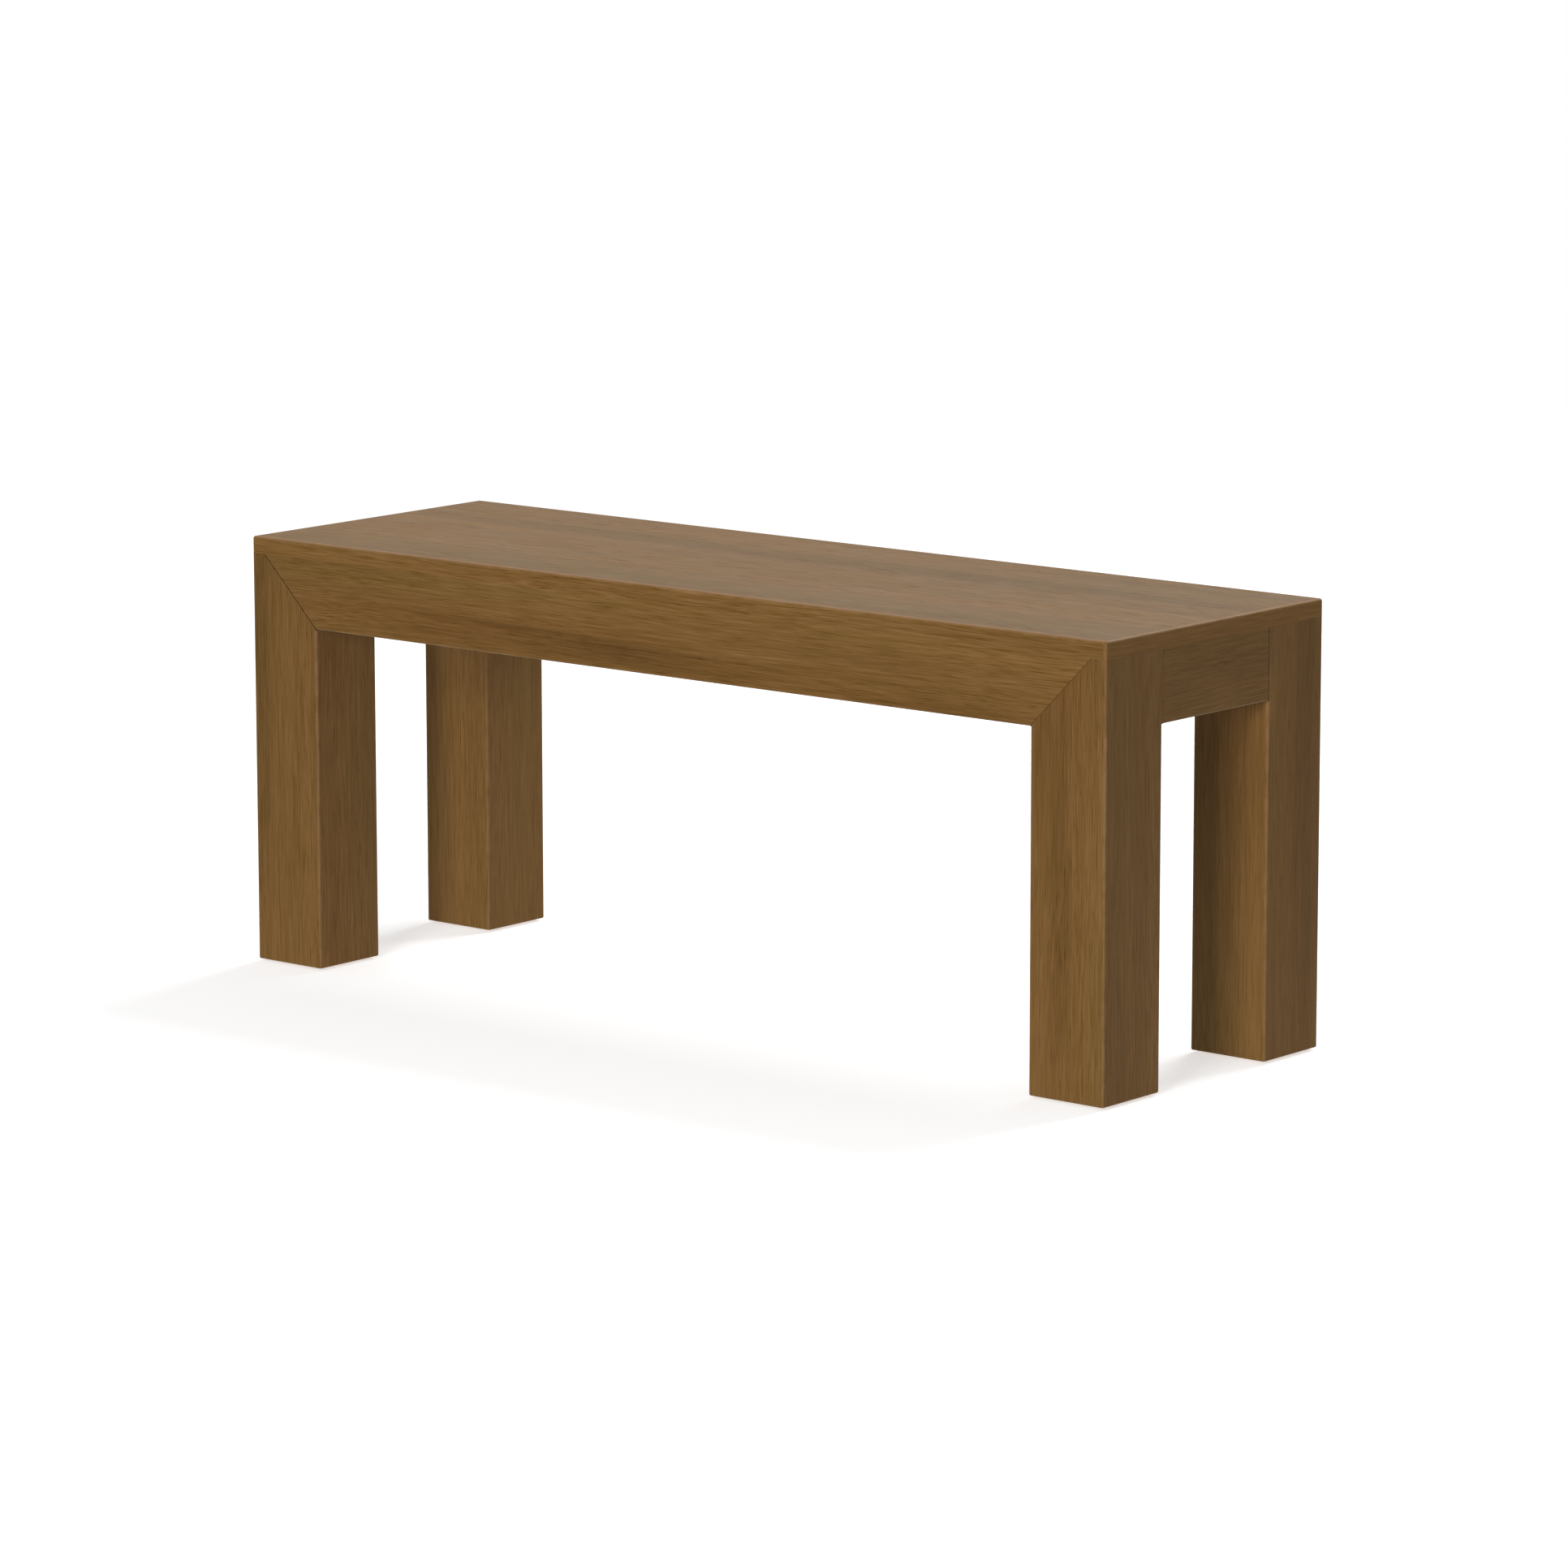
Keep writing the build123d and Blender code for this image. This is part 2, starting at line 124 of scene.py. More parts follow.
CUTS = {
    # The boards' slopes are painted light, lighter towards the seat's left end
    "seat_board_1": Cut(
        ALONG, (0.31, 0.012, 0.094), contrast=0.6, lean=-0.08, shade=1.075, slope=-0.085, fine=1.2,
        streaks=(
            ((0.05, -0.020, 0.01), (0.90, 0.024, 0.05), 0.10),
            ((0.42, -0.014, 0.01), (0.16, 0.03, 0.05), 0.07),
            ((0.0, 0.030, 0.01), (0.60, 0.018, 0.05), -0.05),
            # Lighter along the seat's front edge and front face
            ((0.0, -0.046, 0.0), (0.90, 0.011, 0.05), -0.06),
        ),
    ),
    "seat_board_2": Cut(
        ALONG, (1.87, -0.021, 0.128), contrast=0.6, lean=-0.03, shade=1.115, slope=-0.085, fine=1.2,
        streaks=(
            ((0.40, -0.030, 0.01), (0.13, 0.010, 0.05), -0.10),
            ((-0.45, -0.01, 0.01), (0.2, 0.03, 0.05), -0.06),
        ),
    ),
    "seat_board_3": Cut(
        ALONG, (3.42, 0.034, 0.083), contrast=0.55, lean=-0.06, shade=1.075, slope=-0.085, fine=1.2,
        streaks=(
            ((0.12, 0.027, 0.01), (0.72, 0.034, 0.05), 0.14),
            ((0.30, 0.026, 0.01), (0.30, 0.026, 0.05), 0.10),
            ((-0.28, 0.026, 0.01), (0.14, 0.02, 0.05), 0.06),
        ),
    ),
    "seat_board_4": Cut(
        ALONG, (5.13, -0.014, 0.142), contrast=0.6, lean=-0.10, shade=1.08, slope=-0.075, fine=1.2,
        streaks=(
            ((-0.05, -0.010, 0.01), (0.12, 0.020, 0.05), 0.06),
            ((0.20, -0.036, 0.01), (0.40, 0.014, 0.05), 0.06),
        ),
    ),
    "left_lipping": Cut(ACROSS, (2.2, 0.01, 0.07), contrast=0.7, lean=0.04, shade=1.08, fine=0.8),
    "right_lipping": Cut(
        ACROSS, (4.6, -0.02, 0.08), contrast=0.7, lean=0.06, shade=1.18, slope=0.12, fine=0.7
    ),
    # The front rail's streaks leave it lighter along its top and darker towards its bottom
    "front_rail": Cut(
        ALONG, (6.3, 0.062, 0.021), lean=0.02, shade=1.01, slope=0.06,
        streaks=(
            ((-0.20, 0.0, -0.016), (0.30, 0.06, 0.020), 0.11),
            ((0.06, 0.0, -0.020), (0.24, 0.06, 0.018), 0.13),
            ((0.36, 0.0, -0.028), (0.20, 0.06, 0.010), 0.15),
            ((0.16, 0.0, -0.016), (0.46, 0.06, 0.022), 0.07),
            ((-0.14, 0.0, -0.006), (0.30, 0.06, 0.003), 0.09),
            ((0.20, 0.0, -0.012), (0.26, 0.06, 0.003), 0.12),
            ((0.34, 0.0, -0.004), (0.16, 0.06, 0.002), 0.12),
            ((0.10, 0.0, -0.001), (0.14, 0.06, 0.004), -0.08),
            ((-0.12, 0.0, 0.028), (0.80, 0.06, 0.028), -0.09),
            ((0.42, 0.0, 0.020), (0.22, 0.06, 0.020), -0.07),
        ),
    ),
    "rear_rail": Cut(
        ALONG, (7.7, -0.070, -0.018), contrast=0.9, shade=0.99, slope=0.05,
        streaks=(
            ((0.14, 0.0, 0.02), (0.5, 0.06, 0.018), 0.14),
            ((-0.3, 0.0, -0.02), (0.2, 0.06, 0.014), 0.12),
        ),
    ),
    "left_rail": Cut(
        ACROSS, (8.4, 0.055, 0.03), contrast=0.6, lean=-0.04, shade=0.97, fine=0.8,
        streaks=(((0.02, 0.0, -0.01), (0.1, 0.06, 0.018), 0.1),),
    ),
    "right_rail": Cut(
        ACROSS, (9.1, -0.058, 0.012), contrast=0.55, lean=-0.07, fine=0.8,
        streaks=(((0.04, 0.0, 0.01), (0.12, 0.06, 0.03), 0.06),),
    ),
    # The legs' slopes are painted light from below, lighter towards their feet
    "front_left_leg": Cut(
        UPRIGHT, (10.2, 0.074, 0.031), shade=1.01, slope=-0.33, fine=0.97,
        streaks=(
            ((0.06, -0.045, 0.040), (0.24, 0.03, 0.016), 0.13),
            ((-0.06, -0.045, -0.030), (0.3, 0.016, 0.012), -0.07),
            ((0.02, -0.045, -0.003), (0.5, 0.016, 0.011), -0.09),
            ((0.02, -0.032, -0.045), (0.5, 0.026, 0.012), 0.10),
            ((0.08, 0.012, -0.045), (0.3, 0.030, 0.014), 0.07),
        ),
    ),
    "front_right_leg": Cut(
        UPRIGHT, (11.6, 0.083, -0.022), lean=0.01, slope=-0.42, fine=0.93,
        streaks=(
            ((-0.02, -0.045, 0.009), (0.24, 0.024, 0.015), 0.19),
            ((0.12, -0.045, 0.020), (0.14, 0.024, 0.028), 0.08),
            ((-0.06, -0.045, -0.030), (0.36, 0.016, 0.018), -0.08),
            ((0.14, -0.008, -0.045), (0.40, 0.066, 0.012), -0.17),
            ((0.18, 0.0, -0.045), (0.14, 0.070, 0.010), -0.05),
        ),
    ),
    "rear_left_leg": Cut(
        UPRIGHT, (12.9, 0.061, 0.044), contrast=0.65, slope=-0.4, fine=0.8,
        streaks=(
            ((0.10, 0.007, -0.045), (0.4, 0.028, 0.012), -0.09),
            ((0.02, -0.045, 0.034), (0.3, 0.02, 0.012), 0.10),
            ((0.02, -0.045, -0.040), (0.4, 0.02, 0.012), -0.05),
            # Painted light: lighter at the top of the front face, just under the rails, where the
            # rails' shade falls
            ((0.105, -0.045, 0.0), (0.05, 0.02, 0.08), -0.20),
        ),
    ),
    "rear_right_leg": Cut(
        UPRIGHT, (14.3, -0.048, -0.066), contrast=0.7, lean=0.01, shade=1.045, slope=-0.42,
        fine=0.75,
        streaks=(
            ((-0.04, 0.013, -0.045), (0.40, 0.022, 0.02), 0.09),
            ((0.04, 0.020, -0.045), (0.22, 0.018, 0.02), 0.06),
            ((0.0, 0.038, -0.045), (0.40, 0.012, 0.02), -0.05),
            ((0.0, -0.034, -0.045), (0.40, 0.020, 0.012), -0.06),
            ((0.02, -0.045, 0.0), (0.2, 0.02, 0.007), 0.10),
            # Painted light from below: lighter towards the foot of the front face
            ((-0.14, -0.045, -0.01), (0.22, 0.02, 0.06), -0.08),
            # Painted light: lighter at the top of the front face, just under the rails, where the
            # rails' shade falls
            ((0.145, -0.045, 0.0), (0.05, 0.02, 0.08), -0.28),
        ),
    ),
    "front_left_block": Cut(FALLING, (15.1, 0.05, 0.02)),
    "front_right_block": Cut(RISING, (16.4, 0.06, -0.01), shade=0.96),
    "rear_left_block": Cut(RISING, (17.2, -0.05, 0.02), shade=1.03),
    "rear_right_block": Cut(FALLING, (18.8, 0.04, 0.03), shade=0.98),
    "left_batten": Cut(
        ACROSS, (19.5, 0.03, 0.06), streaks=(((0.02, 0.0, 0.0), (0.08, 0.01, 0.02), 0.12),)
    ),
    "right_batten": Cut(
        ACROSS, (20.7, -0.03, 0.05), shade=0.97,
        streaks=(((-0.03, 0.0, 0.0), (0.06, 0.01, 0.02), 0.12),),
    ),
}

# How dark each corner's joints are, with gathered stain and painted shade in their gaps, which
# differs from corner to corner as the shade does: along the mitre, under the slab and where the
# end rail meets the leg
JOINT_STAIN_AND_SHADE = {
    "front_left": (0.9, 0.6, 0.3),
    "front_right": (0.05, 0.05, 0.1),
    "rear_left": (0.45, 0.3, 0.4),
    "rear_right": (0.5, 0.1, 0.75),
}


# Settings


def colour_setting(name, description, default):
    """A colour property."""
    return FloatVectorProperty(
        name=name, description=description, default=default, subtype="COLOR", min=0.0, max=1.0
    )


def length_setting(name, description, default, least=0.1 * MM):
    """A length property."""
    return FloatProperty(
        name=name, description=description, default=default, unit="LENGTH", min=least
    )


def power_setting(name, description, default):
    """A property for a light's power."""
    return FloatProperty(name=name, description=description, default=default, unit="POWER", min=0.0)


class BenchStain(bpy.types.PropertyGroup):
    """Colours and gloss of the bench's finishes."""

    pale: colour_setting(
        "Pale stain", "Stain over the lightest bands of the wood", (0.226, 0.1170, 0.0330)
    )
    middle: colour_setting(
        "Middle stain", "Stain over most of the wood", (0.180, 0.0912, 0.0232)
    )
    deep: colour_setting(
        "Deep stain", "Stain over the darkest bands of the wood", (0.132, 0.0637, 0.0138)
    )
    red: colour_setting(
        "Red cast", "Colour that the warmest bands lean to", (0.188, 0.0870, 0.0215)
    )
    olive: colour_setting(
        "Olive cast", "Colour that the coolest bands lean to", (0.168, 0.0930, 0.0215)
    )
    # Rubbed edge colour: stain thinned by wear along the eased edges, together with a painted
    # highlight, lighter and less saturated, where the rounded edges catch the light
    rubbed_and_highlight: colour_setting(
        "Rubbed edge", "Stain where the eased edges are rubbed thin", (0.400, 0.2350, 0.1150)
    )
    # Joint line colour: stain gathered in the joints, and painted shade in the gaps between the
    # parts
    joint: colour_setting(
        "Joint line", "Stain gathered in the joints of the legs", (0.020, 0.010, 0.004)
    )
    bare: colour_setting(
        "Bare wood", "Unstained wood of the corner blocks and battens", (0.45, 0.30, 0.16)
    )
    steel: colour_setting(
        "Plated steel", "Zinc plate on the bolts, nuts, washers and screws", (0.55, 0.55, 0.53)
    )
    plastic: colour_setting(
        "Glide plastic", "Brown plastic of the floor glides", (0.060, 0.042, 0.030)
    )
    roughness: FloatProperty(
        name="Varnish roughness",
        description="Roughness of the satin varnish between the pores",
        default=0.55,
        min=0.05,
        max=1.0,
        subtype="FACTOR",
    )


class BenchGrain(bpy.types.PropertyGroup):
    """Sizes of the wood's figure."""

    ring_spacing: length_setting(
        "Ring spacing", "Distance between growth rings", 7.5 * MM, 0.5 * MM
    )
    wander: length_setting(
        "Grain wander", "How far the grain strays from a straight line", 7 * MM, 0.0
    )
    band_width: length_setting("Band width", "Width of the broad light and dark bands", 42 * MM, MM)
    band_length: length_setting(
        "Band length", "Length of the broad light and dark bands", 0.62, 10 * MM
    )
    fibre_length: length_setting("Fibre length", "Length of the fine streaks", 55 * MM, MM)
    fibre_width: length_setting("Fibre width", "Width of the fine streaks", 1.05 * MM)
    pore_length: length_setting("Pore length", "Length of the open pores", 26 * MM, MM)
    pore_width: length_setting("Pore width", "Width of the open pores", 0.95 * MM)
    # Width of the strip of edge wear and painted highlight along an eased edge
    edge_width: length_setting(
        "Rubbed edge width", "Width of the rubbed strip along an eased edge", 3.2 * MM
    )
    # Half width of the joint line, which is both stain and painted shade in the gap
    joint_width: length_setting(
        "Joint line width", "Half width of the stain gathered in a joint", 0.75 * MM, 0.05 * MM
    )


class BenchHardware(bpy.types.PropertyGroup):
    """Sizes of the bolts, screws and glides."""

    bolt_radius: length_setting("Bolt radius", "Radius of a leg bolt", 4 * MM)
    bolt_pitch: length_setting(
        "Bolt thread pitch", "Pitch of the leg bolt's nut thread", 1.25 * MM
    )
    lag_pitch: length_setting(
        "Bolt wood thread pitch", "Pitch of the leg bolt's wood thread", 3.2 * MM
    )
    screw_radius: length_setting("Screw radius", "Radius of a wood screw", 2 * MM)
    screw_pitch: length_setting("Screw thread pitch", "Pitch of a wood screw's thread", 1.8 * MM)
    sides: IntProperty(
        name="Sides",
        description="Number of sides round a screw or bolt",
        default=24,
        min=12,
        max=96,
    )


class BenchStudio(bpy.types.PropertyGroup):
    """Light, floor and lens of the studio."""

    key_power: power_setting("Key light", "Power of the tall front light", 240.0)
    back_power: power_setting("Back light", "Power of the high light behind", 230.0)
    left_power: power_setting(
        "Left light", "Power of the light under the floor at the left", 230.0
    )
    right_power: power_setting(
        "Right light", "Power of the light under the floor at the right", 203.0
    )
    ambient: FloatProperty(
        name="Ambient", description="Strength of the light from above and all round", default=0.31
    )
    floor: colour_setting("Floor", "Colour of the floor", (0.80, 0.80, 0.80))
    lens: FloatProperty(
        name="Lens", description="Focal length of the camera in millimetres", default=155.122
    )


# Shader wires


class Wire:
    """An output of a node. The signs + - * / between a wire and a wire, a number or a vector add
    the node that works it out."""

    def __init__(self, socket):
        self.socket = socket
        self.tree = socket.id_data

    def __add__(self, other):
        return maths("ADD", self, other)

    def __sub__(self, other):
        return maths("SUBTRACT", self, other)

    def __rsub__(self, other):
        return maths("SUBTRACT", other, self)

    def __mul__(self, other):
        return maths("MULTIPLY", self, other)

    def __truediv__(self, other):
        return maths("DIVIDE", self, other)


def wires(node):
    """A node's outputs by name."""
    return {socket.name: Wire(socket) for socket in node.outputs}


def feed(node, inputs):
    """Sets a node's inputs, by name or number, to values or to wires."""
    for socket, value in dict(inputs).items():
        if isinstance(value, Wire):
            value.tree.links.new(value.socket, node.inputs[socket])
        else:
            node.inputs[socket].default_value = value


def put(tree, kind, inputs=(), out=0, **settings):
    """Adds a node and returns one of its outputs. Settings are the node's own properties."""
    made = tree.nodes.new(kind)
    for name, value in settings.items():
        setattr(made, name, value)
    feed(made, inputs)
    return Wire(made.outputs[out])


def tree_of(values):
    """The tree of the first wire among some values."""
    return next(value.tree for value in values if isinstance(value, Wire))


def is_vector(side):
    """Whether a wire or a value is a vector or a colour, and not a number."""
    if isinstance(side, Wire):
        return side.socket.type in ("VECTOR", "RGBA")
    return not isinstance(side, float)


def maths(operation, first, second=0.0, out=0):
    """The result of a Math node, or of a Vector Math node where a side is a vector."""
    sides = (first, second)
    kind = "ShaderNodeMath"
    if any(is_vector(side) for side in sides):
        kind = "ShaderNodeVectorMath"
        sides = [(side,) * 3 if isinstance(side, float) else side for side in sides]
    return put(tree_of(sides), kind, enumerate(sides), out=out, operation=operation)


def length_of(vector):
    """The length of a vector."""
    return maths("LENGTH", vector, out="Value")


def parts(vector):
    """A vector's three numbers, or a colour's."""
    split = put(vector.tree, "ShaderNodeSeparateXYZ", {0: vector})
    return list(wires(split.socket.node).values())


def eased(value, low, high, start=0.0, end=1.0):
    """A value's smooth step from start, at or below low, to end, at or above high."""
    inputs = {"Value": value, "From Min": low, "From Max": high, "To Min": start, "To Max": end}
    return put(value.tree, "ShaderNodeMapRange", inputs, interpolation_type="SMOOTHSTEP")


def blended(factor, first, second):
    """A mix of two colours."""
    inputs = {0: factor, 6: first, 7: second}
    return put(factor.tree, "ShaderNodeMix", inputs, out=2, data_type="RGBA")


def noise(vector, detail=2.0, rough=0.5, out="Fac", scale=1.0):
    """Noise whose features are about one unit across at a scale of 1."""
    inputs = {"Vector": vector, "Scale": scale, "Detail": detail, "Roughness": rough}
    return put(vector.tree, "ShaderNodeTexNoise", inputs, out=out, noise_dimensions="3D")


def new_group(name, inputs, outputs):
    """Makes an empty shader node group. Returns its inputs' wires and its output node."""
    tree = bpy.data.node_groups.new(name, "ShaderNodeTree")
    for label, value in inputs.items():
        kind = "Float" if isinstance(value, float) else {3: "Vector", 4: "Color"}[len(value)]
        made = tree.interface.new_socket(label, in_out="INPUT", socket_type=f"NodeSocket{kind}")
        made.default_value = value
    for label, kind in outputs.items():
        tree.interface.new_socket(label, in_out="OUTPUT", socket_type=f"NodeSocket{kind}")
    return wires(tree.nodes.new("NodeGroupInput")), tree.nodes.new("NodeGroupOutput")


def place_group(name, inputs):
    """Puts a node group beside the wires that feed it, and makes the group where it isn't there
    yet. Returns its outputs by name."""
    if name not in bpy.data.node_groups:
        GROUPS[name](name)
    made = tree_of(inputs.values()).nodes.new("ShaderNodeGroup")
    made.node_tree = bpy.data.node_groups[name]
    feed(made, inputs)
    return wires(made)


# Shader groups

ZERO = (0.0, 0.0, 0.0)
BLACK = (0.0, 0.0, 0.0, 1.0)
WHITE = (1.0, 1.0, 1.0, 1.0)
# Sockets that groups share: the figure's masks, the stain's colours and depths, and what a
# whole surface gives
FIGURES = ("Band", "Cast", "Ring", "Fibre", "Pore")
STAINS = ("Pale", "Middle", "Deep", "Red", "Olive")
DEPTHS = ("Ring Depth", "Fibre Depth", "Pore Depth")
SURFACE = {"Color": "Color", "Roughness": "Float", "Height": "Float"}

# How fast the grain strays, the rings ripple and a streak's edge strays, along the wood and
# across it, and how far the last two go: in rings, and in the streak's half sizes
STRAY_RATE = (2.6, 7.0, 7.0)
RIPPLE_RATE = (5.0, 34.0, 34.0)
RAGGED_RATE = (3.0, 80.0, 80.0)
RIPPLE = 1.6
RAGGED = 1.3
SIDEWAYS = (0.0, 1.0, 1.0)
# Shifts that keep two noises on one place from being alike
CAST_SHIFT = (7.3, 1.7, 4.1)
PORE_SHIFT = (0.31, 0.17, 0.23)
# How much red, green and blue darken in fibres and pores, in streaks, and in the seat's
# streaks, and the share of each that always stays
FINE_TINT = (1.0, 1.15, 2.2)
BROAD_TINT = (1.0, 1.1, 1.6)
SEAT_TINT = (1.0, 0.86, 1.9)
DARKEST = 0.1
# How far a band and a cast lie from the middle where their colours are whole, and the share
# that a whole cast takes
BAND_REACH = 0.24
CAST_REACH = 0.2
CAST_SHARE = 0.8


def figure_group(name):
    """Wood as growth rings round a pith line along X, with bands, fibres and pores. The grain
    first strays sideways by soft noise. A ring is the fraction of the distance from the pith
    over the ring spacing, and pores are the peaks of long thin noise, which come in crowds and
    are fewest in the dense late wood."""
    given, result = new_group(
        name,
        {
            "Vector": ZERO,
            "Pith": ZERO,
            "Ring Spacing": 0.006,
            "Wander": 0.01,
            "Band Size": (0.6, 0.04, 0.04),
            "Fibre Size": (0.03, 0.0015, 0.0015),
            "Pore Size": (0.02, 0.002, 0.002),
        },
        {**dict.fromkeys(FIGURES, "Float"), "Line": "Vector"},
    )
    seeded = given["Vector"] + given["Pith"]
    strayed = noise(seeded * STRAY_RATE, detail=1.5, out="Color") - 0.5
    line = seeded + strayed * SIDEWAYS * given["Wander"] * 2.0

    # Growth rings, with the dense late wood near the end of each
    ripple = noise(line * RIPPLE_RATE) * RIPPLE
    phase = maths("FRACT", length_of(line * SIDEWAYS) / given["Ring Spacing"] + ripple)
    late = eased(phase, 0.3, 0.85) * eased(phase, 0.9, 1.0, 1.0, 0.0)

    # Broad bands of tone and of cast
    wide = line / given["Band Size"]
    band = noise(wide, detail=4.0, rough=0.52)
    cast = noise(wide * 0.6 + CAST_SHIFT, rough=0.4)

    # Fine fibres and open pores
    fibre = noise(line / given["Fibre Size"], detail=2.5, rough=0.6)
    pore = eased(noise((line + PORE_SHIFT) / given["Pore Size"], detail=1.5), 0.54, 0.70)
    crowd = eased(noise(wide + PORE_SHIFT), 0.35, 0.65, 0.35, 1.0)
    pore = pore * (crowd * eased(late, 0.0, 1.0, 1.0, 0.6))
    made = (band, cast, late, fibre, pore)
    feed(result, {**dict(zip(FIGURES, made)), "Line": line})


def streak_group(name):
    """Darker or lighter colour inside an uneven ellipsoid, the wood's own and in a few places
    painted light: the distance from its place over its half sizes, strayed by noise, and eased to
    nothing at its edge."""
    given, result = new_group(
        name,
        {"Line": ZERO, "Place": ZERO, "Reach": (1.0, 1.0, 1.0), "Depth": 0.2},
        {"Loss": "Float"},
    )
    far = length_of((given["Line"] - given["Place"]) / given["Reach"])
    stray = (noise(given["Line"] * RAGGED_RATE, detail=3.5) - 0.5) * RAGGED
    feed(result, {"Loss": eased(far + stray, 0.35, 1.15, 1.0, 0.0) * given["Depth"]})


def stain_group(name):
    """Stain over the figure. The band picks a colour between deep and pale, and the cast leans
    it to red or olive. Streaks, rings, fibres and pores darken it, and blue the most, because
    thicker stain is also deeper in colour. Pores and late wood also shape the height and the
    roughness."""
    given, result = new_group(
        name,
        {
            **dict(zip(FIGURES, (0.5, 0.5, 0.0, 0.5, 0.0))),
            **dict.fromkeys(STAINS, BLACK),
            **dict(zip(DEPTHS, BARE_DEPTHS)),
            "Streak": 0.0,
            "Streak Tint": BROAD_TINT,
            "Shade": 1.0,
            "Contrast": 1.0,
            "Lean": 0.0,
            "Roughness": 0.5,
        },
        SURFACE,
    )
    middle, ring, pore = given["Middle"], given["Ring"], given["Pore"]
    spread = (given["Band"] - 0.5) * given["Contrast"]
    colour = blended(eased(spread, -BAND_REACH, 0.0, 1.0, 0.0), middle, given["Deep"])
    colour = blended(eased(spread, 0.0, BAND_REACH), colour, given["Pale"])
    lean = (given["Cast"] - 0.5) * given["Contrast"] + given["Lean"]
    warm = eased(lean, 0.0, CAST_REACH, 0.0, CAST_SHARE)
    cool = eased(lean, -CAST_REACH, 0.0, CAST_SHARE, 0.0)
    cast = blended(warm, WHITE, given["Red"] / middle)
    cast = blended(cool, cast, given["Olive"] / middle)

    fine = (given["Fibre"] - 0.5) * (given["Fibre Depth"] * 4.0)
    fine = fine - ring * given["Ring Depth"] - pore * given["Pore Depth"]
    fine = maths("MAXIMUM", fine * FINE_TINT + 1.0, DARKEST)
    broad = maths("MAXIMUM", 1.0 - given["Streak Tint"] * given["Streak"], DARKEST)
    surface = {
        "Color": colour * cast * fine * broad * given["Shade"],
        "Roughness": given["Roughness"] + pore * 0.12 - ring * 0.03,
        "Height": given["Fibre"] * 0.5 + ring * 0.2 - pore * 0.8,
    }
    feed(result, surface)


# Mask for edge wear and a painted highlight along the eased edges of a box
def edge_group(name):
    """A mask along the edges of a box. On the box's surface the middle one of the three
    distances to the nearest pair of sides is the distance to the nearest edge. A side that is
    moved far off takes its edges with it."""
    given, result = new_group(
        name,
        {
            "Vector": ZERO,
            "Low Corner": (-1.0, -1.0, -1.0),
            "High Corner": (1.0, 1.0, 1.0),
            "Up To": 10.0,
            "Width": 0.003,
        },
        {"Mask": "Float"},
    )
    place = given["Vector"]
    low = maths("ABSOLUTE", place - given["Low Corner"])
    high = maths("ABSOLUTE", given["High Corner"] - place)
    x, y, z = parts(maths("MINIMUM", low, high))
    inner = maths("MINIMUM", maths("MAXIMUM", x, y), z)
    edge = maths("MAXIMUM", maths("MINIMUM", x, y), inner)
    uneven = eased(noise(place, detail=3.0, scale=55.0), 0.3, 0.7, 0.75, 1.25)
    mask = eased(edge / (given["Width"] * uneven), 0.15, 1.0, 1.0, 0.0)
    above = parts(place)[2] - given["Up To"]
    feed(result, {"Mask": mask * eased(above, -2 * MM, 0.0, 1.0, 0.0)})


# Mask for the stain and painted shade in a joint's gap
def joint_group(name):
    """A mask along the plane of a joint: the distance from a point to the plane, against an
    uneven width, above a height."""
    given, result = new_group(
        name,
        {
            "Vector": ZERO,
            "Point": ZERO,
            "Normal": (0.0, 0.0, 1.0),
            "Width": 0.001,
            "From Height": -10.0,
        },
        {"Mask": "Float"},
    )
    place = given["Vector"]
    off = maths("ABSOLUTE", maths("DOT_PRODUCT", place - given["Point"], given["Normal"], "Value"))
    uneven = eased(noise(place, scale=180.0), 0.3, 0.7, 0.7, 1.3)
    mask = eased(off / (given["Width"] * uneven), 0.3, 1.0, 1.0, 0.0)
    above = parts(place)[2] - given["From Height"]
    feed(result, {"Mask": mask * eased(above, -MM, 0.0)})


def film_group(name):
    """A varnish or moulded skin: patches of roughness, and a fine uneven height."""
    given, result = new_group(
        name,
        {"Vector": ZERO, "Patch": 0.08, "Low": -0.04, "High": 0.04, "Peel": 0.002},
        {"Roughness": "Float", "Height": "Float"},
    )
    patch = noise(given["Vector"] / given["Patch"], detail=3.0)
    peel = noise(given["Vector"] / given["Peel"], detail=1.0)
    rough = eased(patch, 0.35, 0.65, given["Low"], given["High"])
    feed(result, {"Roughness": rough, "Height": peel})


def saw_group(name):
    """Marks of a saw across the grain: a wave along X whose spacing strays by noise."""
    given, result = new_group(name, {"Vector": ZERO, "Spacing": 0.0016}, {"Mark": "Float"})
    place = given["Vector"]
    along = parts(place)[0] + noise(place, detail=1.0, scale=14.0) * 0.012
    wave = maths("SINE", along / given["Spacing"] * (2 * math.pi)) * 0.5 + 0.5
    faint = eased(noise(place, detail=1.0, scale=40.0), 0.35, 0.65)
    feed(result, {"Mark": wave * faint})


def plate_group(name):
    """Zinc plate: crystals as cells of slightly different shade, and dull patches."""
    inputs = {"Vector": ZERO, "Crystal": 0.0011, "Color": (0.5, 0.5, 0.5, 1.0)}
    given, result = new_group(name, inputs, SURFACE)
    place = given["Vector"]
    cells = {"Vector": place / given["Crystal"], "Scale": 1.0}
    cell = wires(put(place.tree, "ShaderNodeTexVoronoi", cells).socket.node)
    pick = eased(parts(cell["Color"])[0], 0.0, 1.0, 0.86, 1.1)
    dull = noise(place, detail=3.0, scale=170.0)
    surface = {
        "Color": given["Color"] * (pick * eased(dull, 0.3, 0.7, 0.8, 1.05)),
        "Roughness": eased(dull, 0.3, 0.7, 0.5, 0.3),
        "Height": cell["Distance"] * 0.3,
    }
    feed(result, surface)


